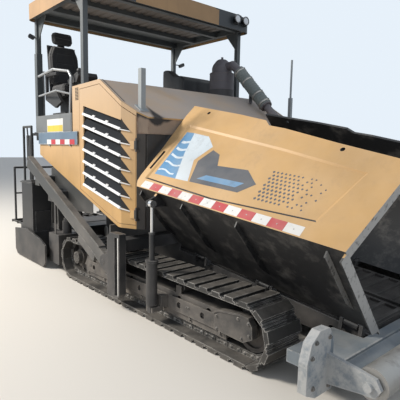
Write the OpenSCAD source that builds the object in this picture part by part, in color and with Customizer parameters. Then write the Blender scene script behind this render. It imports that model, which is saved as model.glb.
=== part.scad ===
// Tracked asphalt paver, parked with its hopper folded and its screed lowered.
// +X is forward, +Y is the machine's left, +Z is up, and the ground is at Z = 0.
// Lengths along X are counted from the paver's own datum, and datum_x brings
// the middle of the whole machine to the origin.

/* [Tracks] */
// Middle of the machine to a track's outer edge
track_outer_y = 1470; // [1430:5:1490]
// Width of a track shoe
shoe_w = 400; // [360:5:420]
// Height of a track over its pads
track_h = 545; // [520:5:560]
// Front idler's axle
idler_x = 2360; // [2200:10:2450]
// Rear sprocket's axle
sprocket_x = -650; // [-700:10:-550]
// Distance from one shoe to the next
shoe_pitch = 152; // [140:2:180]
// Thickness of a shoe plate
shoe_t = 14; // [10:1:18]
// Thickness of the pad on a shoe
pad_t = 26; // [20:1:32]
// Depth of the link chain inside the shoes
chain_t = 55; // [45:1:60]
// Width of the link chain
chain_w = 150; // [130:5:170]
// Bottom rollers on each side
roller_n = 7; // [5:1:8]

/* [Frame] */
// Middle of the machine to a main side plate
frame_y = 712; // [690:2:720]
// Thickness of the main side plates
frame_t = 16; // [12:1:20]
// Height of the engine deck
deck_z = 1200; // [1150:10:1250]
// Height of the platform's underside
floor_z = 1860; // [1820:5:1900]

/* [Body] */
// Half width over the side panels
body_y = 1400; // [1390:2:1420]
// Thickness of a side panel
panel_t = 18; // [12:1:24]
// Front of the side panels
body_front_x = 660; // [650:2:672]
// Front of the hood and of the apron
nose_x = 752; // [740:2:756]
// Ridge of the hood
ridge_x = 20; // [-40:5:60]
// Height of the hood's ridge
ridge_z = 2470; // [2440:5:2500]
// Height of the hood's front edge
hood_low_z = 2030; // [2005:5:2055]
// Rear end of the tall part of the body
hood_rear_x = -670; // [-700:5:-640]
// Rear end of the side panels
body_rear_x = -1740; // [-1780:5:-1700]
// Lowest point of the side panels, at their front
skirt_z = 838; // [825:1:850]
// Rise of the side panels' lower edge in degrees
skirt_a = 19.1; // [18:0.1:20.5]
// Length of the chamfered front corner along X
chamfer_x = 180; // [150:5:200]
// Width of the chamfered front corner along Y
chamfer_y = 75; // [60:5:90]
// Louvre blades in each door
blade_n = 7; // [5:1:9]

/* [Hopper] */
// Slope of the hopper's floor line, front end low, in degrees
hopper_a = 5.7; // [4:0.1:6]
// Rear end of the wings
wing_x = 860; // [850:2:880]
// Height of the wing hinge at its rear end
hinge_z = 557; // [550:1:580]
// Middle of the machine to a wing's hinge
hinge_y = 762; // [758:1:780]
// Length of a wing
wing_len = 2270; // [2200:10:2290]
// Middle of the machine to a wing's outer corner
corner_y = 1450; // [1430:2:1460]
// Height of the outer corner over the hinge
corner_h = 755; // [730:5:780]
// Thickness of the wing plates
wing_t = 14; // [10:1:18]
// Width of the front flange of a wing
flange_w = 85; // [60:5:100]

// Front of the frame, where the push beam is bolted on
push_x = 3010; // [2990:5:3040]
// Radius of a push roller
push_roller_r = 105; // [90:5:120]

/* [Screed] */
// Tow pin along X
tow_x = 400; // [380:5:420]
// Height of the tow pin
tow_z = 470; // [450:5:490]
// Middle of the machine to the inner face of a tow arm
arm_y = 1500; // [1495:1:1510]
// Thickness of a tow arm
arm_t = 68; // [50:2:80]
// Height of a tow arm's section
arm_h = 150; // [120:5:170]
// Slope of a tow arm in degrees
arm_a = 24.6; // [22:0.1:26]
// Front of the main screed
screed_x = -1420; // [-1440:5:-1410]
// Half width of the main screed
screed_y = 1250; // [1200:5:1260]
// Gap under the screed plates
screed_z = 30; // [20:1:40]
// Height of the screed bodies
screed_h = 470; // [430:5:500]

/* [Auger] */
// Auger shaft along X
auger_x = -1200; // [-1210:5:-1190]
// Height of the auger shaft
auger_z = 330; // [320:5:360]
// Radius of the auger flights
auger_r = 195; // [170:5:205]

/* [Canopy] */
// Underside of the roof's fascia
roof_z = 3520; // [3450:10:3600]
// Front of the roof
roof_front_x = -270; // [-320:10:-220]
// Rear of the roof
roof_rear_x = -2120; // [-2200:10:-2100]
// Half width of the roof
roof_y = 1400; // [1380:5:1420]
// Height of the roof's fascia
fascia_h = 215; // [180:5:240]
// Side of a canopy post's square section
post_w = 66; // [56:2:80]

/* [Hidden] */

$fn = 48;
fit_gap = 0.3;
pin_gap = 0.3;
// How far the front corner is set in from the chamfer to the apron
nose_in = 90;

// Wing cylinders, upright outside the tracks: foot pin, eye and sections
cylinder_x = 1250;
cylinder_y = 1536;
foot_z = 180;
eye_z = 1190;
barrel_r = 54;
tube_r = 27;
piston_r = 16;
barrel_top = 655;
tube_top = 920;

track_mid_y = track_outer_y - shoe_w / 2;
axle_z = track_h / 2;
link_r = axle_z - shoe_t - pad_t;
chain_r = link_r - chain_t;
run_len = idler_x - sprocket_x;
loop_len = 2 * run_len + 2 * PI * link_r;
shoe_n = round(loop_len / shoe_pitch);
shoe_step = loop_len / shoe_n;

// Where the side panels' lower edge begins to rise
skirt_flat_x = body_front_x - chamfer_x - 65;
hood_slope = (ridge_z - hood_low_z) / (nose_x - ridge_x);
tilt_tan = tan(hopper_a);

// Height of the wing hinge line over the ground at a place along X
function hinge_at(x) = hinge_z - (x - wing_x) * tilt_tan;
// Height of the hood's sloping front at a place along X
function slope_at(x) = ridge_z - (x - ridge_x) * hood_slope;
// Height of the side panels' lower edge at a place along X
function skirt_at(x) = skirt_z + (skirt_flat_x - x) * tan(skirt_a);
// Height of the hood's flat rear part at a place along X
function ridge_at(x) = ridge_z - 22 + (x - hood_rear_x) * 21 / (ridge_x - hood_rear_x);
// Outer face of a side panel's chamfered corner, and of the front corner ahead of it
function panel_outer(x) = body_y - chamfer_y * max(0, x - body_front_x + chamfer_x) / chamfer_x;
function corner_at(x) = body_y - chamfer_y - nose_in * (x - body_front_x) / (nose_x - body_front_x);
// Inner face of a side panel, from the middle, at a place along X
function panel_inner(x) = let (c = x - body_front_x + chamfer_x)
    c < 0 ? body_y - panel_t : body_y - panel_t * 1.25 - chamfer_y * c / chamfer_x;
// Points of an arc, from angle a0 to a1 in n steps
function arc(cx, cy, r, a0, a1, n) =
    [for (i = [0 : n]) let (a = a0 + (a1 - a0) * i / n) [cx + r * cos(a), cy + r * sin(a)]];
// A rectangle from low to high with rounded corners
function rounded(low, high, r, n = 4) = concat(
    arc(high.x - r, high.y - r, r, 0, 90, n), arc(low.x + r, high.y - r, r, 90, 180, n),
    arc(low.x + r, low.y + r, r, 180, 270, n), arc(high.x - r, low.y + r, r, 270, 360, n));

module left(side) {
    if (side > 0) children();
    else mirror([0, 1, 0]) children();
}
module both() {
    for (side = [-1, 1]) left(side) children();
}
module block(low, high) {
    translate(low) cube(high - low);
}
// A drawing in X and Z, as thick as y0 to y1
module along_y(y0, y1) {
    translate([0, y1, 0]) rotate([90, 0, 0]) linear_extrude(y1 - y0) children();
}
// A drawing in Y and Z, as thick as x0 to x1
module along_x(x0, x1) {
    translate([x0, 0, 0]) rotate([90, 0, 90]) linear_extrude(x1 - x0) children();
}
module rod(p, q, r) {
    d = q - p;
    translate(p) rotate([0, acos(d.z / norm(d)), atan2(d.y, d.x)]) cylinder(h = norm(d), r = r);
}
module pipe(points, r) {
    for (i = [0 : len(points) - 2]) rod(points[i], points[i + 1], r);
    if (len(points) > 2) for (i = [1 : len(points) - 2]) translate(points[i]) sphere(r = r * 1.04);
}
module axle(x, y0, y1, z, r) {
    translate([x, y0, z]) rotate([-90, 0, 0]) cylinder(h = y1 - y0, r = r);
}
// The hopper's own frame: X runs along the wing hinge from its rear end
module hopper_frame() {
    translate([wing_x, 0, hinge_z]) rotate([0, hopper_a, 0]) children();
}

// Tracks
// A place on the shoe line: x, z from the axles, heading in degrees
function loop_at(t) =
    t < run_len ? [sprocket_x + t, -link_r, 0]
    : t < run_len + PI * link_r ? let (h = (t - run_len) / link_r * 180 / PI)
        [idler_x + link_r * sin(h), -link_r * cos(h), h]
    : t < 2 * run_len + PI * link_r ? [idler_x - (t - run_len - PI * link_r), link_r, 180]
    : let (h = 180 + (t - 2 * run_len - PI * link_r) / link_r * 180 / PI)
        [sprocket_x + link_r * sin(h), -link_r * cos(h), h];
// One drawn point, placed "along" the shoe and "out" from the shoe line
function loop_point(t, along, out) = let (p = loop_at(t))
    [p[0] + along * cos(p[2]) + out * sin(p[2]), p[1] + along * sin(p[2]) - out * cos(p[2])];
// The same short profile on every shoe of the loop
function loop_outline(profile) =
    [for (i = [0 : shoe_n - 1]) for (q = profile) loop_point((i + 0.5) * shoe_step, q[0], q[1])];

shoe_half = shoe_step / 2 - 6;
pad_half = shoe_half - 22;
shoe_profile = [[-shoe_half, 0], [-shoe_half, shoe_t], [-pad_half, shoe_t],
    [-pad_half, shoe_t + pad_t], [pad_half, shoe_t + pad_t], [pad_half, shoe_t],
    [shoe_half, shoe_t], [shoe_half, 0]];

module track(side) color("dimgray") left(side) translate([0, track_mid_y, axle_z]) {
    difference() {
        along_y(-shoe_w / 2, shoe_w / 2) polygon(loop_outline(shoe_profile));
        along_y(-shoe_w, shoe_w) polygon(loop_outline([[-shoe_half, -8], [shoe_half, -8]]));
    }
    difference() {
        along_y(-chain_w / 2, chain_w / 2) polygon(loop_outline([[-60, -6], [60, -6]]));
        along_y(-chain_w, chain_w) polygon(loop_outline([[-48, -chain_t], [48, -chain_t]]));
    }
}

roller_r = 60;
roller_z = axle_z - chain_r + roller_r + 1;
roller_first_x = sprocket_x + 330;
roller_step = (run_len - 660) / (roller_n - 1);
carrier_r = 45;
carrier_z = axle_z + chain_r - carrier_r - 1;
carrier_x = [sprocket_x + 900, idler_x - 900];
beam_y0 = track_mid_y - 105;
beam_y1 = track_mid_y + 105;
lug_t = 12;
wheel_w = chain_w - 10;

// A flanged wheel on an axle along Y
module wheel(x, z, r, half_w, bore, lip = 8) {
    translate([x, track_mid_y, z]) rotate([90, 0, 0]) rotate_extrude()
        polygon([[bore, -half_w], [r + lip, -half_w], [r + lip, -half_w + 14],
            [r, -half_w + 20], [r, half_w - 20], [r + lip, half_w - 14], [r + lip, half_w],
            [bore, half_w]]);
}
module track_wheels(side) color("saddlebrown") left(side) {
    for (i = [0 : roller_n - 1])
        wheel(roller_first_x + i * roller_step, roller_z, roller_r, wheel_w / 2, 22 + pin_gap, 0);
    for (x = carrier_x) wheel(x, carrier_z, carrier_r, wheel_w / 2, 18 + pin_gap, 0);
    difference() {
        wheel(idler_x, axle_z, chain_r - 8, wheel_w / 2, 35 + pin_gap, 0);
        for (s = [-1, 1]) translate([idler_x, track_mid_y + s * wheel_w / 2, axle_z])
            rotate([90, 0, 0]) difference() {
                cylinder(h = 50, r = chain_r - 40, center = true);
                cylinder(h = 60, r = 62, center = true);
            }
    }
    difference() {
        translate([sprocket_x, track_mid_y + 20, axle_z]) rotate([90, 0, 0])
            linear_extrude(40) polygon([for (i = [0 : 43]) let (a = i * 360 / 44,
                r = i % 4 < 2 ? chain_r - 5 : chain_r - 32) [r * cos(a), r * sin(a)]]);
        axle(sprocket_x, 0, 3000, axle_z, 100 + pin_gap);
    }
}
module track_frame(side) color("#2b2e30") left(side) {
    difference() {
        along_y(beam_y0, beam_y1) polygon([[sprocket_x + 215, roller_z + 75],
            [sprocket_x + 300, carrier_z - 50], [idler_x - 300, carrier_z - 50],
            [idler_x - 220, roller_z + 140], [idler_x - 220, roller_z + 75]]);
        for (i = [0 : 5]) axle(sprocket_x + 480 + i * (run_len - 960) / 5, beam_y1 - 40,
            beam_y1 + 1, (roller_z + carrier_z) / 2 + 10, 40);
    }
    for (y = [beam_y0, beam_y1 - lug_t]) {
        along_y(y, y + lug_t) polygon([[roller_first_x - 70, roller_z - 38],
            [roller_first_x - 70, roller_z + 80], [idler_x - 260, roller_z + 80],
            [idler_x - 260, roller_z - 38]]);
        along_y(y, y + lug_t) polygon([[idler_x - 260, axle_z - 55], [idler_x - 260, axle_z + 75],
            [idler_x + 30, axle_z + 50], [idler_x + 55, axle_z], [idler_x + 30, axle_z - 50]]);
        for (x = carrier_x) block([x - 35, y, carrier_z - 60], [x + 35, y + lug_t, carrier_z + 22]);
    }
    for (i = [0 : roller_n - 1])
        axle(roller_first_x + i * roller_step, beam_y0, beam_y1, roller_z, 22);
    for (x = carrier_x) axle(x, beam_y0, beam_y1, carrier_z, 18);
    axle(idler_x, beam_y0, beam_y1 + 14, axle_z, 35);
    // final drive, between the frame and the sprocket
    axle(sprocket_x, beam_y0 - 130, track_mid_y - 28, axle_z, 140);
    axle(sprocket_x, track_mid_y - 28, track_mid_y + 60, axle_z, 100);
    axle(sprocket_x, track_mid_y + 60, beam_y1 + 12, axle_z, 78);
    along_y(beam_y0, beam_y0 + 40) polygon([[sprocket_x, axle_z - 100],
        [sprocket_x, axle_z + 110], [sprocket_x + 320, carrier_z - 50],
        [sprocket_x + 320, roller_z + 75]]);
    // guard outside the rollers, with its holes
    difference() {
        along_y(beam_y1 + 12, beam_y1 + 22) polygon([[roller_first_x + 40, roller_z + 25],
            [roller_first_x + 40, carrier_z - 90], [idler_x - 360, carrier_z - 90],
            [idler_x - 360, roller_z + 25]]);
        for (i = [0 : 6]) axle(roller_first_x + 160 + i * 330, beam_y1, beam_y1 + 30,
            (roller_z + carrier_z) / 2 - 32, 30);
    }
    for (i = [0 : 3]) block([roller_first_x + 60 + i * 620, beam_y1, roller_z + 80],
        [roller_first_x + 100 + i * 620, beam_y1 + 12, roller_z + 130]);
    // cover of the track tensioner, outside the idler's arm
    along_y(beam_y1 - 1, beam_y1 + 58) polygon([[2015, 200], [2005, 340], [2060, 372], [2300, 408],
        [2390, 402], [2432, 350], [2438, 250], [2340, 196]]);
    along_y(beam_y1 - 1, beam_y1 + 66) polygon([[1998, 336], [1998, 350], [2058, 384], [2300, 421],
        [2398, 414], [2404, 402], [2300, 407], [2062, 371]]);
    // fork for the foot of the wing cylinder, reaching out between the shoes
    block([cylinder_x - 75, beam_y1 + 20, foot_z + 15], [cylinder_x + 75, cylinder_y - 62, foot_z + 130]);
    for (s = [-1, 1]) block([cylinder_x + s * 37 - 12, cylinder_y - 100, foot_z - 28],
        [cylinder_x + s * 37 + 12, cylinder_y + 28, foot_z + 24]);
    rod([cylinder_x - 45, cylinder_y, foot_z], [cylinder_x + 45, cylinder_y, foot_z], 14);
}

// Main frame
cross_x = [-150, 1650];
knuckle_x = [180, 1080, 1980];
knuckle_w = 120;
knuckle_r = 30;
hinge_pin_r = 15;
bracket_z = 605;
bearer_x = [body_rear_x + 20, -1250];
tie_x = 2690;
tie_z = 235;
tie_r = 34;
frame_rear_x = -1040;

module main_frame() color("#23272a") {
    both() {
        difference() {
            along_y(frame_y, frame_y + frame_t) polygon([[push_x, 170], [push_x, hinge_at(push_x) - 45],
                [body_front_x + 10, hinge_at(body_front_x + 10) - 45], [body_front_x + 5, deck_z - 20 - fit_gap],
                [hood_rear_x + 36, deck_z - 20 - fit_gap], [hood_rear_x - 420, floor_z - fit_gap],
                [body_rear_x - 60, floor_z - fit_gap], [body_rear_x - 60, floor_z - 200],
                [frame_rear_x, 1150], [frame_rear_x, auger_z + auger_r + 60],
                [auger_x + auger_r + 20, auger_z + auger_r + 20], [auger_x + auger_r + 20, 260]]);
            axle(tie_x, 0, 3000, tie_z, tie_r);
            for (x = bearer_x) block([x - fit_gap, 0, floor_z - 90 - fit_gap], [x + 80 + fit_gap, 1400, floor_z]);
        }
        // cross beams out to the track frame
        for (x = cross_x) block([x, frame_y + frame_t - 2, roller_z + 92],
            [x + 300, beam_y0, carrier_z - 62]);
        // bracket over the track for the tow guide
        block([470, frame_y + frame_t - 2, bracket_z], [640, arm_y - 20, bracket_z + 125]);
        // hinge lugs and pins of the wings
        hopper_frame() for (x = knuckle_x) {
            rod([x - 45, hinge_y, 0], [x + knuckle_w + 45, hinge_y, 0], hinge_pin_r);
            for (e = [x - 40, x + knuckle_w + 12]) difference() {
                block([e, frame_y + 4, -knuckle_r - 40], [e + 28, hinge_y + 24, 24]);
                block([e - 1, frame_y - 20, -knuckle_r + 6], [e + 29, frame_y + frame_t - 14, 40]);
            }
        }
    }
    // engine deck, with its cross bearers
    block([hood_rear_x + 40, -1290, deck_z - 20], [body_front_x - 100, 1290, deck_z]);
    block([body_front_x - 101, -1185, deck_z - 20], [body_front_x - panel_t - fit_gap, 1185, deck_z]);
    // brackets that hold the skirt plates
    both() block([hood_rear_x + 45, 1280, deck_z - 20], [hood_rear_x + 120, body_y - 100 - fit_gap, deck_z]);
    // cross plates between the side plates, under the conveyor
    for (p = [[-700, 265], [500, 230], [1700, 200]])
        block([p.x, -frame_y + fit_gap, p.y], [p.x + 14, frame_y - fit_gap, p.y + 70]);
    block([push_x - 50, -frame_y + fit_gap, 175], [push_x - 36, frame_y - fit_gap, 290]);
    // transverse bearers under the platform
    for (x = bearer_x) block([x, -1290, floor_z - 90], [x + 80, 1290, floor_z - fit_gap]);
}

// Engine and body
module engine_block() color("#3a3f42") {
    block([-500, -1240, deck_z + fit_gap], [500, 1240, 2120]);
}

// The side panels seen from above: flat side, chamfered corner, front return
module panel_plan(x0, x1) {
    t = panel_t;
    translate([0, 0, 500]) linear_extrude(2200) polygon([[x0, body_y - t], [x0, body_y],
        [body_front_x - chamfer_x, body_y], [x1, body_y - chamfer_y * (x1 - body_front_x + chamfer_x) / chamfer_x],
        [x1, body_y - t * 1.25 - chamfer_y * (x1 - body_front_x + chamfer_x) / chamfer_x],
        [body_front_x - chamfer_x - t * 0.34, body_y - t]]);
}
door_rear_x = -475;
door_gap = 6;
door_edge = 45;
door_top = 56;
hinge_door_x = body_front_x + 14;
hinge_door_y = body_y - chamfer_y + 8;
door_front_x = body_front_x - 8;
door_hinge_z = [955, 1690];
door_knuckle = 90;
// The door's outline in X and Z, grown by g
function door_outline(g) = [[door_rear_x - g, skirt_at(door_rear_x) + door_edge - g],
    [door_rear_x - g, ridge_z - 16 - door_top + g], [ridge_x, ridge_z - door_top + g],
    [door_front_x + g, slope_at(door_front_x) - door_top + g], [door_front_x + g, skirt_z + door_edge - g],
    [skirt_flat_x, skirt_z + door_edge - g]];

apron_z = 1853;
rear_wall_x = nose_x - 24;
beam_z = floor_z - 128;
module side_body(side) color("#e0ad67") left(side) {
    difference() {
        intersection() {
            union() {
                panel_plan(body_rear_x, body_front_x);
                // front corner below the apron, with the jamb of the door
                translate([0, 0, 500]) linear_extrude(apron_z - fit_gap - 500) polygon([
                    [body_front_x - 8, corner_at(body_front_x) - 4], [body_front_x, corner_at(body_front_x)],
                    [rear_wall_x - fit_gap, corner_at(rear_wall_x)], [rear_wall_x - fit_gap, corner_at(rear_wall_x) - 20],
                    [body_front_x + 8, corner_at(body_front_x) - 26], [body_front_x + 8, corner_at(body_front_x) - 66],
                    [body_front_x - 8, corner_at(body_front_x) - 66]]);
            }
            along_y(900, 1500) polygon([[body_rear_x, beam_z - 2], [hood_rear_x, beam_z - 2],
                [hood_rear_x, ridge_z - 20], [ridge_x, ridge_z],
                [body_front_x, slope_at(body_front_x)], [nose_x, slope_at(nose_x)], [nose_x, skirt_z],
                [skirt_flat_x, skirt_z], [body_rear_x, skirt_at(body_rear_x)]]);
        }
        along_y(body_y - chamfer_y - 40, body_y + 100) polygon(door_outline(door_gap));
    }
    // lugs and pins of the door hinges
    for (z = door_hinge_z) {
        for (e = [z - 26, z + door_knuckle + 2])
            block([body_front_x - 2, hinge_door_y - 70, e], [hinge_door_x + 12, hinge_door_y + 11, e + 24]);
        translate([hinge_door_x, hinge_door_y, z - 20]) cylinder(h = door_knuckle + 40, r = 7 - pin_gap);
    }
    // rear edge turned inward, and the flange above the tall part's rear end
    block([hood_rear_x + 14, body_y - 90, floor_z + 48], [hood_rear_x + 32, body_y - panel_t + 1, ridge_z - 60]);
    block([body_rear_x, body_y - 90, skirt_at(body_rear_x) + 10],
        [body_rear_x + panel_t, body_y - panel_t + 1, beam_z - 2]);
}

// Louvre window: each blade slopes outward and down
louvre_x0 = -380;
louvre_x1 = body_front_x - chamfer_x;
louvre_top = 2196;
louvre_drop = 0.232;
blade_step = 138;
louvre_len = (louvre_x1 - louvre_x0) / cos(atan(louvre_drop));
module louvre_door(side) color("#e6b46c") left(side) {
    difference() {
        intersection() {
            panel_plan(door_rear_x, door_front_x);
            along_y(1000, 1500) polygon(door_outline(0));
        }
        along_y(body_y - 60, body_y + 10) polygon([[louvre_x0, louvre_top],
            [louvre_x1, louvre_top - (louvre_x1 - louvre_x0) * louvre_drop],
            [louvre_x1, louvre_top - (louvre_x1 - louvre_x0) * louvre_drop - blade_n * blade_step],
            [louvre_x0, louvre_top - blade_n * blade_step + 60]]);
        // each slot runs on to a point in the chamfered corner
        translate([louvre_x0, 0, louvre_top]) rotate([0, atan(louvre_drop), 0])
            for (i = [0 : blade_n - 1]) let (x = louvre_len - 4, z = -i * blade_step)
                along_y(body_y - 140, body_y + 10) polygon([[x, z + 24], [x, z - 92], [x + 118, z - 98]]);
    }
    // blades, each sloping outward and down
    translate([louvre_x0, 0, louvre_top]) rotate([0, atan(louvre_drop), 0])
        for (i = [0 : blade_n - 1]) let (x = (i * blade_step + 50) * louvre_drop - 2)
            along_x(x, x + louvre_len + 4) polygon([[body_y - 32, -i * blade_step - 2],
                [body_y + 8, -i * blade_step - 80], [body_y + 20, -i * blade_step - 94],
                [body_y + 20, -i * blade_step - 104], [body_y + 2, -i * blade_step - 92],
                [body_y - 38, -i * blade_step - 8]]);
    // hinge knuckles
    for (z = door_hinge_z) translate([0, 0, z]) difference() {
        union() {
            translate([hinge_door_x, hinge_door_y, 0]) cylinder(h = door_knuckle, r = 13);
            linear_extrude(door_knuckle) polygon([[hinge_door_x, hinge_door_y + 12],
                [hinge_door_x, hinge_door_y + 3], [door_front_x - 60, panel_outer(door_front_x - 60) - 2],
                [door_front_x - 60, panel_outer(door_front_x - 60) + 8]]);
        }
        translate([hinge_door_x, hinge_door_y, -1]) cylinder(h = door_knuckle + 2, r = 7);
    }
}

hood_t = 12;
module hood() color("#e6b46c") {
    bend = body_front_x - chamfer_x - panel_t;
    side = panel_inner(hood_rear_x) - fit_gap;
    inner = panel_inner(body_front_x) - fit_gap;
    step = body_front_x + fit_gap;
    intersection() {
        along_y(-body_y, body_y) polygon([[hood_rear_x, ridge_z - 22], [ridge_x, ridge_z - 1],
            [nose_x, hood_low_z], [nose_x, hood_low_z - hood_t - 3],
            [ridge_x - 2, ridge_z - hood_t - 3], [hood_rear_x + hood_t, ridge_z - 22 - hood_t],
            [hood_rear_x + hood_t, floor_z + 45], [hood_rear_x, floor_z + 45]]);
        translate([0, 0, floor_z]) linear_extrude(800) polygon([[hood_rear_x - 1, -side], [bend, -side],
            [step, -inner], [step, -corner_at(step)], [nose_x, -corner_at(nose_x)], [nose_x, corner_at(nose_x)],
            [step, corner_at(step)], [step, inner], [bend, side], [hood_rear_x - 1, side]]);
    }
}

// Apron below the hood's front edge, running round both front corners
module apron() color("#b59f80") {
    x = body_front_x + 3;
    y = corner_at(x);
    w = corner_at(nose_x);
    top = -hood_t - 3 - fit_gap;
    intersection() {
        translate([0, 0, apron_z]) linear_extrude(400) polygon([[x, -y], [nose_x, -w], [nose_x, w], [x, y],
            [x, y - 20], [nose_x - 14, w - 6], [nose_x - 14, 6 - w], [x, 20 - y]]);
        along_y(-body_y, body_y) polygon([[x - 1, apron_z - 1], [nose_x + 1, apron_z - 1],
            [nose_x + 1, slope_at(nose_x + 1) + top], [x - 1, slope_at(x - 1) + top]]);
    }
}

module hopper_rear_wall() color("#2a2926") {
    x = rear_wall_x;
    w = corner_at(rear_wall_x) - 14;
    difference() {
        along_x(x, x + 14) polygon([[-690, 625], [690, 625], [w, w - 65], [w, apron_z - fit_gap],
            [-w, apron_z - fit_gap], [-w, w - 65]]);
        for (s = [-1, 1]) translate([x - 1, s * 340 - 300, 640]) cube([16, 600, 330]);
    }
    // stiffeners behind the wall, down to the frame and back to the deck
    for (y = [-728, 0, 714]) block([body_front_x - panel_t, y, deck_z - 20], [x + 1, y + 14, apron_z - 15]);
    for (y = [-900, 886]) block([body_front_x - panel_t, y, deck_z - 20], [x + 1, y + 14, 1300]);
}

// Slat conveyor: two lanes of bars drawn by chains over the floor plates
slat_pitch = 150;
slat_n = 27;
conveyor_x = -1850;
conveyor_len = 3980;
lane_w = 680;
module conveyor() color("#4a4540") hopper_frame() {
    for (s = [-1, 1]) {
        translate([conveyor_x, s * 352 - lane_w / 2, -52]) cube([conveyor_len, lane_w, 12]);
        for (y = [s * 352 - lane_w / 2 + 10, s * 352 + lane_w / 2 - 50])
            translate([conveyor_x, y, -40]) cube([conveyor_len, 40, 26]);
        for (i = [0 : slat_n - 1])
            translate([conveyor_x + 40 + i * slat_pitch, s * 352 + 49 - lane_w / 2, -40.5]) cube([34, lane_w - 98, 30]);
    }
    translate([conveyor_x, -13, -52]) cube([conveyor_len, 26, 60]);
    translate([-1780, -698, -190]) cube([3840, 1396, 10]);
    for (x = [-1780, 100, 2000]) translate([x, -20, -182]) cube([40, 40, 132]);
}

// Hopper wings
floor_a = atan2(corner_h, corner_y - hinge_y);
floor_len = norm([corner_y - hinge_y, corner_h]);
wall_a = 135;
wall_lean = 100;
// The wall's upper edge: along the wing, and up the wall from the corner
wall_edge = [[-245, 1190], [519, 1112], [891, 1060], [969, 1000], [1162, 982], [1736, 884], [wing_len + wall_lean, 790]];
// Its rear edge, from the top down to the floor plate
wall_rear = [[-50, -4], [-110, 60], [-131, 136], [-163, 535], [-240, 1016]];
// The pressed panel in the wall: the same two columns, its middle, and how deep it is
wall_panel = [[-10, 134], [946, 110], [1950, 166], [2080, 630], [1270, 737], [650, 802], [-40, 872]];
panel_mid = [1000, 460];
panel_depth = 12;
wall_out = 22;
wing_rear = -50;

// A plate in the wing: drawn along the wing and up the wall, thick outward
module wall_plate(z0, z1) {
    translate([0, corner_y, corner_h]) rotate([wall_a, 0, 0]) translate([0, 0, -z1])
        linear_extrude(z1 - z0) children();
}
module wing(side) color("#e0ad67") left(side) hopper_frame() {
    // floor plate
    translate([0, hinge_y, 0]) rotate([floor_a, 0, 0]) difference() {
        translate([wing_rear, 20, 0]) cube([wing_len - wing_rear, floor_len - 22, wing_t]);
        for (x = knuckle_x) translate([x - 50, 0, -1]) cube([knuckle_w + 100, 48, wing_t + 2]);
    }
    // ribs below the floor plate
    translate([0, hinge_y, 0]) rotate([floor_a, 0, 0])
        for (x = [wing_rear + 20, 620, 1300, wing_len - 160])
            along_x(x, x + 12) polygon([[260, 1], [floor_len - 40, 1], [floor_len - 60, -45], [420, -45]]);
    // hinge knuckles with their straps
    for (x = knuckle_x) difference() {
        union() {
            rod([x, hinge_y, 0], [x + knuckle_w, hinge_y, 0], knuckle_r);
            translate([x, hinge_y, 0]) rotate([floor_a, 0, 0]) translate([0, 5, 2]) cube([knuckle_w, 60, 12]);
        }
        rod([x - 1, hinge_y, 0], [x + knuckle_w + 1, hinge_y, 0], hinge_pin_r + pin_gap);
    }
    // wall: the skin, and the border that stands out round its pressed panel
    difference() {
        wall_plate(-5, wall_out) polygon(concat([[wing_len, -4]], [for (i = [len(wall_edge) - 1 : -1 : 0]) wall_edge[i]],
            [for (i = [len(wall_rear) - 1 : -1 : 0]) wall_rear[i]]));
        translate([0, corner_y, corner_h]) rotate([wall_a, 0, 0]) translate([panel_mid.x, panel_mid.y, -wall_out + panel_depth])
            mirror([0, 0, 1]) linear_extrude(panel_depth + 1, scale = [1.025, 1.07])
                polygon([for (p = wall_panel) p - panel_mid]);
        wall_plate(-20, 30) for (p = [[74, 1096], [1807, 824]]) translate(p) circle(r = 20);
        wall_plate(-20, 30) polygon([[-96, 240], [-62, 236], [-66, 486], [-104, 492]]);
    }
    // front flange along floor and wall
    translate([0, hinge_y, 0]) rotate([floor_a, 0, 0]) along_x(wing_len - 14, wing_len)
        polygon([[54, wing_t - 1], [130, wing_t - flange_w], [floor_len - 4, wing_t - flange_w], [floor_len - 4, wing_t - 1]]);
    translate([wing_len, corner_y, corner_h]) rotate([wall_a, 0, 0]) rotate([0, 0, -atan(wall_lean / 838)])
        translate([-14, -12, 3]) cube([14, 800, flange_w - 30]);
    // lug for the cylinder's eye, out from the corner
    translate([cylinder_x - wing_x, 0, 0]) rotate([0, -hopper_a, 0])
        along_x(-64, -eye_half - stub - fit_gap) polygon([[corner_y - 130, lug_top(corner_y - 130)],
            [corner_y - 6, lug_top(corner_y - 6)], [corner_y + 24, lug_top(corner_y) - 40], [cylinder_y + 26, lug_h + 24],
            [cylinder_y + 26, lug_h - 30], [cylinder_y - 26, lug_h - 34]]);
}
// Height of the lug's top edge inside the floor plate, in the lug's upright frame
function lug_top(y) = ((y - hinge_y) * corner_h / (corner_y - hinge_y) + 9 + 49 * sin(hopper_a)) / cos(hopper_a);
eye_half = 20;
stub = 14;
lug_h = eye_z - hinge_at(cylinder_x);

module barrel(side) color("#33383b") left(side) translate([cylinder_x, cylinder_y, 0]) {
    difference() {
        union() {
            translate([0, 0, foot_z + 40]) cylinder(h = barrel_top - foot_z - 40, r = barrel_r);
            block([-24, -34, foot_z - 34], [24, 34, foot_z + 60]);
            translate([0, 0, barrel_top - 20]) cylinder(h = 20, r = barrel_r + 9);
            translate([0, 0, barrel_top - 1]) cylinder(h = tube_top - barrel_top + 1, r = tube_r);
            translate([0, 0, tube_top - 14]) cylinder(h = 14, r = tube_r + 4);
        }
        rod([-30, 0, foot_z], [30, 0, foot_z], 14 + pin_gap);
        translate([0, 0, foot_z + 70]) cylinder(h = 900, r = piston_r + pin_gap);
    }
}
module piston(side) color("silver") left(side) translate([cylinder_x, cylinder_y, 0]) {
    translate([0, 0, 660]) cylinder(h = eye_z - 660 - 20, r = piston_r);
    rod([-eye_half, 0, eye_z], [eye_half, 0, eye_z], 36);
    rod([-eye_half - stub, 0, eye_z], [-eye_half + 1, 0, eye_z], 20);
}

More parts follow.
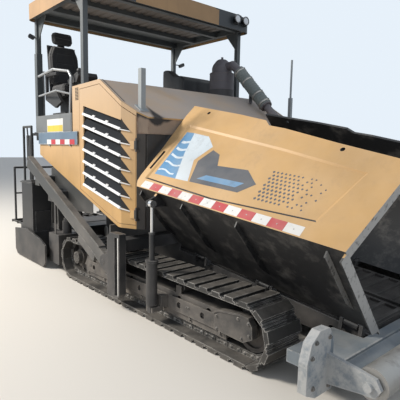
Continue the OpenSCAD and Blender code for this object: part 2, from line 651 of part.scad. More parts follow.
// Push beam and its rollers, in front of the hopper
push_lip = 265;
push_roller_x = push_x + push_lip + 20 + push_roller_r;
push_roller_z = 310;
push_arm_t = 30;
module push_beam() color("#5d7287") {
    difference() {
        along_y(-1430, 1430) polygon([[push_x, 190], [push_x, 288], [push_x + 112, 298], [push_x + 112, 316],
            [push_x + 126, 316], [push_x + 126, 296], [push_x + 252, 240], [push_x + 248, 226], [push_x + 126, 268],
            [push_x + 126, 190]]);
        for (s = [-1, 1]) translate([push_x - 1, s * 500 - 90, 205]) cube([12, 180, 60]);
    }
    both() {
        // end plate with its chamfered shoulder
        along_x(push_x + 35, push_x + 100) polygon([[1400, 150], [1590, 150], [1690, 200],
            [1690, 400], [1650, 520], [1560, 585], [1450, 580], [1400, 500]]);
        // arms that carry the roller, and its shaft
        for (y = [1440, 120]) difference() {
            along_y(y, y + push_arm_t) polygon([[push_x + 60, 200], [push_x + 60, 420],
                [push_roller_x - 60, push_roller_z + 75], [push_roller_x + 40, push_roller_z + 60],
                [push_roller_x + 75, push_roller_z], [push_roller_x + 40, push_roller_z - 60],
                [push_roller_x - 60, push_roller_z - 70]]);
            axle(push_roller_x, y - 5, y + 35, push_roller_z, 28);
        }
        axle(push_roller_x, 118, 1496, push_roller_z, 28);
        // deck behind the beam, under the wing
        block([push_x - 270, 800, 276], [push_x + 1, 1400, 288]);
        block([push_x - 270, 800, 190], [push_x - 258, 1400, 277]);
        for (y = [800, 1388]) block([push_x - 259, y, 190], [push_x + 1, y + 12, 277]);
        // deflector bar behind the roller
        block([push_x + push_lip - 25, 149, 218], [push_x + push_lip, 1441, 252]);
    }
}
module push_roller(side) color("#b9b7b0") left(side) difference() {
    union() {
        axle(push_roller_x, 158, 1432, push_roller_z, push_roller_r);
        for (y = [154, 1424]) axle(push_roller_x, y, y + 12, push_roller_z, 55);
    }
    axle(push_roller_x, 100, 1500, push_roller_z, 28 + pin_gap);
}

// Tow points, outside the tracks
guide_x0 = 500;
guide_x1 = 745;
guide_y1 = arm_y + arm_t + 20;
head_gap = 6;
module tow_guide(side) color("#1f2326") left(side) {
    difference() {
        along_y(arm_y + 6, guide_y1) polygon([[guide_x0, 150], [guide_x0, 760], [guide_x0 + 60, 820],
            [guide_x1, 820], [guide_x1, 180], [guide_x1 - 40, 130], [guide_x0 + 30, 130]]);
        block([guide_x0 + 150, arm_y + 26, 160], [guide_x1 - 20, guide_y1 + 1, 780]);
    }
    // head with the tow pin between its cheeks
    for (y = [arm_y - 16, arm_y + arm_t + head_gap]) difference() {
        along_y(y, y + 10) polygon([[guide_x0 + 20, tow_z - 120], [guide_x0 + 20, tow_z + 120],
            [tow_x - 20, tow_z + 75], [tow_x - 70, tow_z + 40], [tow_x - 70, tow_z - 40], [tow_x - 20, tow_z - 75]]);
        axle(tow_x, y - 4, y + 16, tow_z, 29);
    }
    axle(tow_x, arm_y - 22, arm_y + arm_t + head_gap + 16, tow_z, 29);
    for (z = [tow_z + 118, tow_z - 132]) block([guide_x0 - 60, arm_y - 16, z], [guide_x0 + 2, guide_y1 - 4, z + 14]);
    // plate that ties the guide to the bracket over the track
    block([480, arm_y - 20 + fit_gap, bracket_z + 10], [640, arm_y + 7, bracket_z + 160]);
}
module tow_rods() color("gainsboro") both()
    translate([guide_x1 - 45, guide_y1 - 24, 160 + fit_gap]) cylinder(h = 620 - 2 * fit_gap, r = 17);

// Screed: tow arms, main screed, extensions that slide out
arm_len = (tow_x - screed_x + 380) / cos(arm_a);
module screed_arm(side) color("#8c9092") left(side) {
    difference() {
        union() {
            translate([tow_x, arm_y, tow_z]) rotate([0, arm_a, 0]) {
                translate([-arm_len, 0, -arm_h / 2]) cube([arm_len - 40, arm_t, arm_h]);
                translate([-arm_len, -8, arm_h / 2 - 1]) cube([arm_len - 160, arm_t + 14, 14]);
                translate([-620, -4, -arm_h / 2 - 70]) cube([420, arm_t + 8, 90]);
            }
            axle(tow_x, arm_y - 3, arm_y + arm_t + 3, tow_z, 72);
        }
        axle(tow_x, arm_y - 20, arm_y + arm_t + 20, tow_z, 29 + pin_gap);
    }
    // cross tube with its gusset under the arm, and the leg down to the main screed
    axle(screed_x - 200, screed_y - 118, arm_y - 10, tube_z, 62);
    along_y(arm_y - 18, arm_y + 1) polygon([[screed_x - 270, tube_z - 75], [screed_x - 130, tube_z - 75],
        [screed_x - 130, tube_z + 110], [screed_x - 270, tube_z + 175]]);
    difference() {
        along_y(screed_y - 120, screed_y) polygon([[screed_x - 80, screed_z + screed_h],
            [screed_x - 130, leg_top], [screed_x - 290, leg_top], [screed_x - 350, screed_z + screed_h]]);
        along_y(screed_y - 104, screed_y + 1) polygon([[screed_x - 108, screed_z + screed_h + 60],
            [screed_x - 132, leg_top - 180], [screed_x - 280, leg_top - 180], [screed_x - 318, screed_z + screed_h + 60]]);
    }
}
leg_top = 1400;
tube_z = leg_top - 178;
screed_rear = screed_x - 380;
screed_top = screed_z + screed_h;
bar_x = [screed_rear - 130, screed_rear - 400];
bar_z = screed_z + 330;
bar_r = 30;
module screed_main() color("#2a2e30") {
    difference() {
        along_y(-screed_y, screed_y) polygon([[screed_x - 70, screed_z], [screed_x, screed_z + 70],
            [screed_x, screed_z + 380], [screed_x - 60, screed_top], [screed_rear, screed_top],
            [screed_rear, screed_z]]);
        // service hatches in the front wall
        for (y = [-1050, -650, 250, 650]) block([screed_x - 30, y, screed_z + 110], [screed_x + 1, y + 300, screed_z + 330]);
    }
    // centre bracket and the bars that carry the extensions
    block([bar_x[1] - 60, -26, screed_z + 230], [screed_rear + 1, 26, screed_z + 440]);
    for (x = bar_x) axle(x, -screed_y + 60, screed_y - 60, bar_z, bar_r);
}
ext_x = screed_rear - 6;
ext_depth = 520;
ext_y0 = 34;
ext_y1 = 1500;
box_y0 = 1215;
box_top = 1210;
gate_y = ext_y1 + 20;
module screed_extension(side) color("#23272a") left(side) difference() {
    union() {
        along_y(ext_y0, ext_y1) polygon([[ext_x, screed_z + 60], [ext_x, screed_top - 60],
            [ext_x - 60, screed_top], [ext_x - ext_depth, screed_top],
            [ext_x - ext_depth, screed_z], [ext_x - 50, screed_z]]);
        // tall end box with its front panel
        along_y(box_y0, ext_y1) polygon([[ext_x - 20, screed_top - 70], [ext_x - 20, box_top - 40],
            [ext_x - 60, box_top], [ext_x - 440, box_top - 30], [ext_x - 440, screed_top - 70]]);
        block([ext_x - 21, box_y0 + 30, screed_z + 150], [ext_x - 2, ext_y1 - 40, box_top - 470]);
        block([ext_x - 470, box_y0 - 30, box_top - 60], [ext_x - 10, ext_y1 + 12, box_top - 40]);
    }
    for (x = bar_x) axle(x, ext_y0 - 1, screed_y + 20, bar_z, bar_r + pin_gap);
}
module end_gate(side) color("#3b3f42") left(side) {
    along_y(gate_y, gate_y + 24) polygon([[screed_x + 120, 90], [screed_x + 40, 18], [ext_x - ext_depth - 60, 18],
        [ext_x - ext_depth - 140, 90], [ext_x - ext_depth - 140, 420], [ext_x - 200, 470], [screed_x - 60, 400],
        [screed_x + 120, 330]]);
    for (x = [ext_x - 120, ext_x - 440]) block([x, ext_y1, 120], [x + 60, gate_y + 1, 360]);
}
walk_x = ext_x - ext_depth;
walk_depth = 476;
// Top of the end box at a place behind its front
function lid_at(d) = box_top - 30 * max(0, -60 - d) / 380 + fit_gap;
module screed_walk(side) color("#3f4447") left(side) {
    // tread frame with its bars
    for (i = [0 : 9]) block([walk_x - 470, 60 + i * 155, 470], [walk_x - 6, 72 + i * 155, 500]);
    for (x = [walk_x - walk_depth, walk_x - 240, walk_x - 14]) block([x, 60, 462], [x + 14, 1480, 502]);
    for (y = [200, 1250]) block([walk_x - 470, y, 400], [walk_x - fit_gap, y + 40, 464]);
    // hand rail on the rear edge, and the hoop over the end box
    pipe([[walk_x - 450, 120, 500], [walk_x - 450, 120, 1350], [walk_x - 450, 1420, 1350],
        [walk_x - 450, 1420, 500]], 17);
    pipe([[walk_x - 450, 121, 930], [walk_x - 450, 1419, 930]], 13);
    pipe([[ext_x - 400, 1460, lid_at(-383)], [ext_x - 400, 1460, 1985], [ext_x - 90, 1460, 1985],
        [ext_x - 90, 1460, lid_at(-73)]], 17);
    // side control box on its stand
    block([ext_x - 340, 1395, 1480], [ext_x - 190, 1445, 1860]);
    pipe([[ext_x - 265, 1420, lid_at(-249)], [ext_x - 265, 1420, 1490]], 16);
    pipe([[ext_x - 265, 1440, 1700], [ext_x - 265, 1460, 1985]], 10);
}

// Augers
flight_t = 12;
auger_y0 = 62;
auger_y1 = 1040;
journal_r = 20;
module auger(side) color("#57504a") left(side) translate([auger_x, 0, auger_z]) rotate([-90, 0, 0]) {
    translate([0, 0, auger_y0]) cylinder(h = auger_y1 - auger_y0, r = 42);
    translate([0, 0, 24]) cylinder(h = auger_y1 + 4, r = journal_r - pin_gap);
    translate([0, 0, auger_y0 + 20])
        linear_extrude(height = auger_y1 - auger_y0 - 40, twist = side * 1080, slices = 54, $fn = 4)
            translate([30, -flight_t / 2]) square([auger_r - 30, flight_t]);
}
bearing_z = 950;
module auger_frame() color("#33373a") {
    // beam across, fixed behind the side plates
    block([frame_rear_x - 330, -1450, bearing_z], [frame_rear_x - fit_gap, 1450, bearing_z + 150]);
    difference() {
        block([auger_x - 75, -48, auger_z - 110], [auger_x + 75, 48, bearing_z + 1]);
        axle(auger_x, -50, 50, auger_z, journal_r);
    }
    both() {
        difference() {
            block([auger_x - 60, auger_y1 + 10, auger_z - 70], [auger_x + 60, auger_y1 + 34, bearing_z + 1]);
            axle(auger_x, auger_y1, auger_y1 + 40, auger_z, journal_r);
        }
        // end box of the auger channel, with its hanger and motor
        difference() {
            block([frame_rear_x - 325, 1100, 95], [frame_rear_x - 10, 1450, 505]);
            block([frame_rear_x - 340, 1112, 110], [frame_rear_x - 26, 1438, 491]);
        }
        for (y = [1120, 1418]) block([auger_x - 20, y, 500], [auger_x + 20, y + 12, bearing_z + 1]);
        translate([auger_x + 30, 1270, 505]) cylinder(h = 170, r = 62);
        translate([auger_x + 30, 1270, 675]) cylinder(h = 40, r = 44);
    }
}

// Platform, its edge beams, cabinet and consoles
platform_rear = roof_rear_x - 30;
beam_x1 = hood_rear_x + 158;
cabinet_w = 215;
cabinet_z = floor_z + 270;
module platform() color("#3b3f42") {
    t = 36;
    block([platform_rear, 28 - body_y + fit_gap, floor_z], [hood_rear_x - fit_gap, body_y - 28 - fit_gap, floor_z + t]);
    for (x = [platform_rear, platform_rear + 280]) block([x, -1290, floor_z - 70], [x + 60, 1290, floor_z]);
    // rear ladder, its treads between two stringers
    for (y = [-260, 230]) along_y(y, y + 30) polygon([[platform_rear + 40, floor_z + 20], [platform_rear - 10, floor_z + 20],
        [platform_rear - 150, 1310], [platform_rear - 90, 1310]]);
    for (i = [0 : 2]) block([platform_rear - 135 + i * 38, -231, 1360 + i * 210], [platform_rear - 5 + i * 38, 231, 1380 + i * 210]);
    // console bulkhead behind the hood
    block([hood_rear_x - 60, -body_y + cabinet_w + 8, floor_z + t], [hood_rear_x - 12, 1300, ridge_z - 60]);
}
module edge_beams() color("#454f5c") both() {
    difference() {
        block([body_rear_x + 10, body_y - 28, beam_z], [beam_x1, body_y + 22, floor_z + 36]);
        block([body_rear_x + 9, body_y - 22, beam_z + 6], [beam_x1 + 1, body_y + 12, floor_z + 30]);
        block([hood_rear_x - 1, body_y - 30, beam_z - 2], [beam_x1 + 1, body_y + fit_gap, floor_z + 38]);
    }
    for (x = [body_rear_x + 350, body_rear_x + 1000]) block([x, body_y + 2, beam_z - 20], [x + 26, body_y + 20, beam_z + 1]);
}
module skirt_plates() color("#969a9c") both() {
    x0 = -1455;
    x1 = -341;
    notch_x = frame_rear_x + 6;
    notch_z = bearing_z + 158;
    along_y(body_y - 100, body_y - 92) polygon([[x0, notch_z], [x0, skirt_at(x0) + 130], [x1, skirt_at(x1) + 130],
        [x1, skirt_at(x1) - 226], [notch_x, skirt_at(x1) - 232], [notch_x, notch_z]]);
    for (x = [x0 + 60, x1 - 120]) along_y(body_y - 93, body_y - panel_t - fit_gap) polygon([[x, skirt_at(x) + 60],
        [x, skirt_at(x) + 110], [x + 40, skirt_at(x + 40) + 110], [x + 40, skirt_at(x + 40) + 60]]);
    // grey plate beside the tow guide
    block([330, body_y - 90, 600], [350, body_y + 60, skirt_at(350) - 6]);
    block([330, body_y - 90, 700], [350, body_y - panel_t - fit_gap, skirt_at(350) + 50]);
}
module cabinet() color("#7d8285") {
    difference() {
        block([body_rear_x - 95, -body_y - 8, deck_top], [hood_rear_x - 15, -body_y + cabinet_w, cabinet_z]);
        block([body_rear_x - 83, -body_y + 4, deck_top + 12], [hood_rear_x - 27, -body_y + cabinet_w + 20, cabinet_z - 12]);
    }
    translate([0, -body_y - 10, 0]) block([body_rear_x - 69, 0, deck_top + 18], [hood_rear_x - 41, 4, cabinet_z - 20]);
}
module console() color("#3c4246") {
    x = -1010;
    block([x - 80, -1140, floor_z + 36], [x + 80, -980, floor_z + 700]);
    along_y(-1222, -940) polygon([[x - 150, floor_z + 690], [x - 170, floor_z + 740], [x + 120, floor_z + 820],
        [x + 150, floor_z + 770], [x + 90, floor_z + 690]]);
    // domed grip and two levers
    translate([x + 40, -1150, floor_z + 790]) cylinder(h = 50, r = 20);
    translate([x + 40, -1150, floor_z + 850]) sphere(r = 36);
    for (y = [-1060, -990]) rod([x - 60, y, floor_z + 750], [x - 85, y, floor_z + 860], 9);
}
module covered_console() color("#202325") {
    z = floor_z + 36 + fit_gap;
    along_y(600, 1235) polygon([[-1490, z], [-1490, z + 985], [-1440, z + 1000],
        [-1000, z + 968], [-930, z + 900], [-930, z]]);
    along_y(600, 745) polygon([[-1490, z + 900], [-1490, z + 1080], [-1440, z + 1106],
        [-1330, z + 1090], [-1180, z + 985], [-1180, z + 900]]);
}

// Seat, to the right
seat_x = -1560;
seat_y = -985;
seat_rise = 240;
seat_z = floor_z + 36 + seat_rise;
module seat_base() color("#2c2f31") translate([seat_x, seat_y, seat_z]) {
    block([-210, -200, -seat_rise], [210, 200, 50]);
    block([-130, -120, 50], [130, 120, 270]);
    block([-240, -220, 270], [240, 220, 330]);
    // back shell and arm rests
    along_y(-215, 215) polygon([[-262, 290], [-238, 290], [-330, 1040], [-350, 1040]]);
    for (y = [-285, 245]) {
        block([-230, y, 560], [120, y + 40, 600]);
        block([-262, y, 290], [-222, y + 40, 601]);
        block([-262, min(y + 1, 214), 290], [-236, max(y + 39, -214), 330]);
    }
    along_y(-50, 50) polygon([[-322, 1030], [-352, 1030], [-372, 1200], [-352, 1200]]);
    // side housing outside the right arm rest
    along_y(-285, -245) polygon([[-262, 300], [-190, 300], [83, 360], [271, 182], [72, 109], [-262, 240]]);
}
// Cushions, one soft solid each: side drawing with rounded corners
module pad(low, high, y0, y1) {
    along_y(y0, y1) polygon(rounded(low, high, 34));
}
module seat_cushion() color("#191a1b") translate([seat_x, seat_y, seat_z])
    pad([-225, 330 + fit_gap], [245, 440], -235, 235);
module seat_back() color("#191a1b") translate([seat_x, seat_y, seat_z]) {
    translate([-258.2, 0, 441]) rotate([0, -7, 0]) intersection() {
        pad([2, 4], [104, 600], -235, 235);
        along_x(0, 120) polygon([[-235, 0], [235, 0], [235, 440], [165, 610], [-165, 610], [-235, 440]]);
    }
    translate([-324.5, 0, 1046]) rotate([0, -10, 0]) pad([0, 0], [86, 196], -160, 160);
}

module handrails() color("silver") {
    // rail beside the seat, from the rear post round to the cabinet
    x0 = post_rear.x + post_w / 2 + 13;
    pipe([[x0, -1290, 2727], [-1265, -1385, 2732], [-1060, -1262, 2700], [-992, -1258, 2620],
        [-1036, -1260, cabinet_z + 3]], 18);
    pipe([[x0, -1290, 2440], [-1180, -1385, 2446], [-1012, -1262, 2400]], 14);
    pipe([[-1960, 1340, deck_top], [-1960, 1340, floor_z + 1000], [-820, 1340, floor_z + 1000],
        [-820, 1340, deck_top]], 19);
    // rear rails, each side of the ladder
    both() pipe([[platform_rear + 40, 330, deck_top], [platform_rear + 40, 330, floor_z + 950],
        [platform_rear + 40, 1180, floor_z + 950], [platform_rear + 40, 1180, deck_top]], 19);
}

// Canopy
post_front = [-470, 1330];
post_rear = [-2050, 1270];
deck_top = floor_z + 36 + fit_gap;
module canopy_frame() color("#4b5459") {
    z = roof_z;
    both() {
        // front post on its foot plate, rear post in its wider sleeve
        block([post_front.x - post_w / 2, post_front.y - post_w / 2, slope_foot], [post_front.x + post_w / 2, post_front.y + post_w / 2, z + 31]);
        block([post_front.x - 90, post_front.y - 90, slope_foot - 12], [post_front.x + 90, post_front.y + 48, slope_foot]);
        block([post_rear.x - post_w / 2, post_rear.y - post_w / 2, deck_top], [post_rear.x + post_w / 2, post_rear.y + post_w / 2, z + 31]);
        block([post_rear.x - post_w / 2 - 10, post_rear.y - post_w / 2 - 10, deck_top], [post_rear.x + post_w / 2 + 10, post_rear.y + post_w / 2 + 10, 3060]);
        block([post_rear.x - 62, post_rear.y - 67, deck_top], [post_rear.x + 62, post_rear.y + 64, deck_top + 14]);
        // gussets at the heads of the posts
        along_y(post_front.y - 6, post_front.y + 6) polygon([[post_front.x - 30, z - 240], [post_front.x - 30, z + 30],
            [post_front.x - 260, z + 30]]);
        along_y(post_rear.y - 6, post_rear.y + 6) polygon([[post_rear.x + 30, z - 280], [post_rear.x + 30, z + 30],
            [post_rear.x + 300, z + 30]]);
        // side rail of the roof frame
        block([roof_rear_x + 75, roof_y - 110, z + 30], [roof_front_x - 75, roof_y - 36, z + shelf]);
    }
    // cross beams
    for (x = [roof_rear_x + 30, post_rear.x + 500, -1000, post_front.x - 45, roof_front_x - 105])
        block([x, -roof_y + 90, z + 32], [x + 75, roof_y - 90, z + 118]);
    // dark panels under the roof
    block([roof_rear_x + 34, -roof_y + 60, z + 112], [roof_front_x - 34, roof_y - 60, z + 119]);
}
slope_foot = ridge_at(post_front.x + 90) + 12 + fit_gap;
shelf = fascia_h - 77 - fit_gap;
module canopy_roof() color("#dba860") {
    low = [roof_rear_x, -roof_y];
    high = [roof_front_x, roof_y];
    t = 14;
    difference() {
        union() {
            translate([0, 0, roof_z]) linear_extrude(fascia_h) polygon(rounded(low, high, 110, 6));
            translate([0, 0, roof_z + fascia_h - 1]) linear_extrude(46)
                polygon(rounded(low + [70, 70], high - [70, 70], 90, 6));
        }
        translate([0, 0, roof_z - 1]) linear_extrude(fascia_h - 76)
            polygon(rounded(low + [t, t], high - [t, t], 100, 6));
        translate([0, 0, roof_z + 100]) linear_extrude(fascia_h - 100 + 32)
            polygon(rounded(low + [90, 90], high - [90, 90], 70, 6));
    }
}
// A round lamp that looks along X, forward or back
module lamp(x, y, z, ahead, r) translate([x, y, z]) rotate([0, ahead * 90, 0]) rotate_extrude()
    polygon([[0, -r * 0.75], [r * 0.55, -r * 0.7], [r * 0.9, -r * 0.15], [r, 0], [r, r * 0.3],
        [r * 0.9, r * 0.3], [r * 0.86, r * 0.16], [0, r * 0.12]]);
module lamps() color("#16181a") both() for (y = [1058, 1236]) {
    // housing on the fascia, and the ledge under it
    lamp(roof_front_x + fit_gap + 48, y, roof_z + 145, 1, 64);
    block([roof_front_x + fit_gap, y - 40, roof_z + 76], [roof_front_x + 44, y + 40, roof_z + 86]);
}
module mirrors() color("#1a1c1e") {
    // right rear post, and left rear post
    for (m = [[-1, 3285, 72, 46], [1, 3258, 140, 74]]) {
        y = m[0] * (post_rear.y + post_w / 2);
        rod([post_rear.x, y + m[0] * 3, m[1]], [post_rear.x + 20, y + m[0] * m[2], m[1]], 9);
        translate([post_rear.x + 24, y + m[0] * m[2], m[1]]) rotate([m[0] * 24, 0, m[0] * 12])
            translate([-16, 0, 0]) along_x(0, 32) polygon(rounded([-m[3], -30], [m[3], 30], 22));
    }
}

stack_x = -420;
stack_y = 950;
stack_r = 188;
module exhaust() color("#3f4a4c") {
    z = ridge_at(stack_x + stack_r + 22) + fit_gap;
    // stack with its shoulder, its dome and the small vent on top
    translate([stack_x, stack_y, z]) rotate_extrude() polygon([[0, 0], [stack_r + 22, 0], [stack_r + 22, 14],
        [stack_r + 4, 18], [stack_r + 4, 150], [stack_r, 152], [stack_r, 398], [stack_r - 6, 408], [155, 412],
        [155, 480], [138, 530], [90, 592], [60, 612], [18, 618], [18, 650], [0, 650]]);
    // short elbow, thick sleeve and the thin pipe that comes down to the hood
    pipe([[stack_x + 60, stack_y, 2955], [stack_x + 230, stack_y, 2965], [-45, stack_y, 2853]], 62);
    rod([-60, stack_y, 2868], [499, stack_y, 2311], 84);
    rod([485, stack_y, 2325], [692, stack_y, 2128], 52);
    // struts under the pipe
    for (m = [[180, 150], [560, 90]]) block([m[0], stack_y - 26, slope_at(m[0]) + fit_gap],
        [m[0] + 24, stack_y + 26, slope_at(m[0]) + m[1]]);
    // posts with their feet on the hood's front corners: right, and left with a thin pole
    for (p = [[600, -1215, 29, 56, 2540], [700, 1220, 22, 32, 2440]]) {
        foot = slope_at(p[0] - p[3]) + 12;
        along_y(p[1] - p[3], p[1] + p[3]) polygon([[p[0] - p[3], slope_at(p[0] - p[3]) + fit_gap], [p[0] - p[3], foot],
            [p[0] + p[3], slope_at(p[0] + p[3]) + 12], [p[0] + p[3], slope_at(p[0] + p[3]) + fit_gap]]);
        along_y(p[1] - p[2], p[1] + p[2]) polygon([[p[0] - p[2], slope_at(p[0] - p[2]) + 8], [p[0] - p[2], p[4]],
            [p[0] + p[2], p[4]], [p[0] + p[2], slope_at(p[0] + p[2]) + 8]]);
    }
    rod([700, 1220, 2430], [700, 1220, 2960], 14);
}

// The middle between the front of the rollers and the rear of the walkways
datum_x = -(push_roller_x + push_roller_r + walk_x - walk_depth) / 2;
module placed() {
    translate([datum_x, 0, 0]) children();
}
placed() main_frame();
placed() track_frame(-1);  // track_frame_right
placed() track_frame(1);  // track_frame_left
placed() track(-1);  // track_right
placed() track(1);  // track_left
placed() track_wheels(-1);  // track_wheels_right
placed() track_wheels(1);  // track_wheels_left
placed() engine_block();
placed() side_body(-1);  // side_body_right
placed() side_body(1);  // side_body_left
placed() louvre_door(-1);  // door_right
placed() louvre_door(1);  // door_left
placed() hood();
placed() apron();
placed() hopper_rear_wall();
placed() conveyor();
placed() wing(-1);  // wing_right
placed() wing(1);  // wing_left
placed() barrel(-1);  // barrel_right
placed() barrel(1);  // barrel_left
placed() piston(-1);  // rod_right
placed() piston(1);  // rod_left
placed() push_beam();
placed() push_roller(-1);  // push_roller_right
placed() push_roller(1);  // push_roller_left
placed() tow_guide(-1);  // tow_guide_right
placed() tow_guide(1);  // tow_guide_left
placed() tow_rods();
placed() screed_arm(-1);  // screed_arm_right
placed() screed_arm(1);  // screed_arm_left
placed() screed_main();
placed() screed_extension(-1);  // screed_extension_right
placed() screed_extension(1);  // screed_extension_left
placed() end_gate(-1);  // end_gate_right
placed() end_gate(1);  // end_gate_left
placed() screed_walk(-1);  // screed_walk_right
placed() screed_walk(1);  // screed_walk_left
placed() auger(-1);  // auger_right
placed() auger(1);  // auger_left
placed() auger_frame();
placed() platform();
placed() edge_beams();
placed() skirt_plates();
placed() cabinet();
placed() console();
placed() covered_console();
placed() seat_base();
placed() seat_cushion();
placed() seat_back();
placed() handrails();
placed() canopy_frame();
placed() canopy_roof();
placed() lamps();
placed() mirrors();
placed() exhaust();
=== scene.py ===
import math
import bpy, bmesh
from mathutils import Matrix, Vector


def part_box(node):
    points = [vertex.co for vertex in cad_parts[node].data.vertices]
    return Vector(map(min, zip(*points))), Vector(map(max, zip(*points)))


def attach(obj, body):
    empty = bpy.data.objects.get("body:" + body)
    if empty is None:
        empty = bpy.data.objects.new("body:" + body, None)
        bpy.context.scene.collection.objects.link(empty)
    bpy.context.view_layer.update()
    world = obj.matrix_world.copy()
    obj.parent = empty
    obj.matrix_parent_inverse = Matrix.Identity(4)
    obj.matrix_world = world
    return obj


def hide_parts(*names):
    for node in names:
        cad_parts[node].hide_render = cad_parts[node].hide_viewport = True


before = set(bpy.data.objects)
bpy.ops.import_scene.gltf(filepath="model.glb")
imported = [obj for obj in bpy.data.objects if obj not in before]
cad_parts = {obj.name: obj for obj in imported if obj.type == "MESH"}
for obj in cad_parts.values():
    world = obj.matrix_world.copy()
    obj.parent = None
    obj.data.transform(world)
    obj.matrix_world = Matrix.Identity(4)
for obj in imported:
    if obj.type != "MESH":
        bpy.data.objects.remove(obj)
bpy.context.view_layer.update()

# Camera, at eye height in front of the machine's right corner, level with the hood.
# Lengths along X are counted from the paver's own datum, which DATUM brings to the origin.
DATUM = -0.3515
view = bpy.data.cameras.new("eye")
view.sensor_width = 36
view.lens = 39.17
view.clip_end = 200
eye = bpy.data.objects.new("eye", view)
eye.location = (4.552 + DATUM, -3.876, 1.710)
eye.rotation_euler = (Matrix.Rotation(math.radians(48.36), 4, "Z")
                      @ Matrix.Rotation(math.radians(90 - 6.73), 4, "X")
                      @ Matrix.Rotation(math.radians(1.05), 4, "Z")).to_euler()
bpy.context.collection.objects.link(eye)
bpy.context.scene.camera = eye
bpy.context.scene.view_settings.view_transform = "Standard"

# Pale floor and a soft studio light: one large key lamp from behind the machine's right,
# a weaker fill from the front left, and a pale sky all round.
floor_mesh = bmesh.new()
bmesh.ops.create_grid(floor_mesh, x_segments=1, y_segments=1, size=60)
floor_data = bpy.data.meshes.new("floor")
floor_mesh.to_mesh(floor_data)
floor = bpy.data.objects.new("floor", floor_data)
bpy.context.collection.objects.link(floor)
floor_paint = bpy.data.materials.new("pale floor")
floor_paint.use_nodes = True
floor_paint.node_tree.nodes["Principled BSDF"].inputs["Base Color"].default_value = (0.72, 0.68, 0.62, 1)
floor_paint.node_tree.nodes["Principled BSDF"].inputs["Roughness"].default_value = 0.9
floor_data.materials.append(floor_paint)
world = bpy.data.worlds.new("sky")
world.use_nodes = True
bpy.context.scene.world = world
sky = world.node_tree
sky_light = sky.nodes["Background"]
sky_light.inputs["Color"].default_value = (0.74, 0.83, 0.97, 1)
sky_light.inputs["Strength"].default_value = 0.50
sky_seen = sky.nodes.new("ShaderNodeBackground")
sky_seen.inputs["Color"].default_value = (0.80, 0.88, 0.96, 1)
sky_seen.inputs["Strength"].default_value = 1.0
sky_path = sky.nodes.new("ShaderNodeLightPath")
sky_mix = sky.nodes.new("ShaderNodeMixShader")
sky_any = sky.nodes.new("ShaderNodeMath")
sky_any.operation = "MAXIMUM"
sky.links.new(sky_path.outputs["Is Camera Ray"], sky_any.inputs[0])
sky.links.new(sky_path.outputs["Is Glossy Ray"], sky_any.inputs[1])
sky.links.new(sky_any.outputs[0], sky_mix.inputs["Fac"])
sky.links.new(sky_light.outputs[0], sky_mix.inputs[1])
sky.links.new(sky_seen.outputs[0], sky_mix.inputs[2])
sky.links.new(sky_mix.outputs[0], sky.nodes["World Output"].inputs["Surface"])
for name, place, size, power, tint in (("key", (-6.5, -8.6, 8.6), 3.0, 1950, (1, 0.95, 0.87)),
                                       ("fill", (10, -2, 6), 8.0, 120, (0.88, 0.94, 1))):
    lamp = bpy.data.lights.new(name, "AREA")
    lamp.size = size
    lamp.energy = power
    lamp.color = tint
    lamp_object = bpy.data.objects.new(name, lamp)
    lamp_object.location = place
    lamp_object.rotation_euler = (Vector((0, 0, 1)) - Vector(place)).to_track_quat("-Z", "Y").to_euler()
    bpy.context.collection.objects.link(lamp_object)


# Crawler tracks: cast steel shoes on link chains round a welded frame, with its guard, rollers,
# idler and sprocket. All is dusty grey-brown, caked low down and rubbed bright on its edges.

# An effect that finishes share: a shader group with named inputs and outputs.
def effect(name, inputs, outputs):
    group = bpy.data.node_groups.new(name, "ShaderNodeTree")
    for label, value in inputs:
        kind = "NodeSocketColor" if isinstance(value, tuple) else "NodeSocketFloat"
        group.interface.new_socket(label, in_out="INPUT", socket_type=kind).default_value = value
    for label, kind in outputs:
        group.interface.new_socket(label, in_out="OUTPUT", socket_type=kind)
    return group, group.nodes.new("NodeGroupInput"), group.nodes.new("NodeGroupOutput")


# A shader node: settings by name, and what is linked to its inputs.
def node(tree, kind, settings=None, **links):
    n = tree.nodes.new("ShaderNode" + kind)
    for key, value in (settings or {}).items():
        if key in n.bl_rna.properties:
            setattr(n, key, value)
        else:
            n.inputs[key].default_value = value
    for key, source in links.items():
        socket = int(key[1:]) if key[0] == "i" and key[1:].isdigit() else key.replace("_", " ")
        tree.links.new(source, n.inputs[socket])
    return n


def ramp(tree, source, low, high):
    n = node(tree, "MapRange", {"From Min": low, "From Max": high})
    tree.links.new(source, n.inputs["Value"])
    return n.outputs["Result"]


def maths(tree, work, a, b):
    n = tree.nodes.new("ShaderNodeMath")
    n.operation = work
    for i, v in enumerate((a, b)):
        if isinstance(v, (int, float)):
            n.inputs[i].default_value = v
        elif v is not None:
            tree.links.new(v, n.inputs[i])
    return n.outputs[0]


def blend_colours(tree, mask, low, high):
    n = tree.nodes.new("ShaderNodeMix")
    n.data_type = "RGBA"
    tree.links.new(mask, n.inputs[0])
    for i, v in ((6, low), (7, high)):
        if isinstance(v, tuple):
            n.inputs[i].default_value = v if len(v) == 4 else v + (1,)
        else:
            tree.links.new(v, n.inputs[i])
    return n.outputs[2]


# Where a point of the surface lies on the machine.
def where(tree):
    return node(tree, "TexCoord").outputs["Object"]


# The X, Y and Z of a place or a direction.
def axes(tree, vector):
    return node(tree, "SeparateXYZ", Vector=vector).outputs


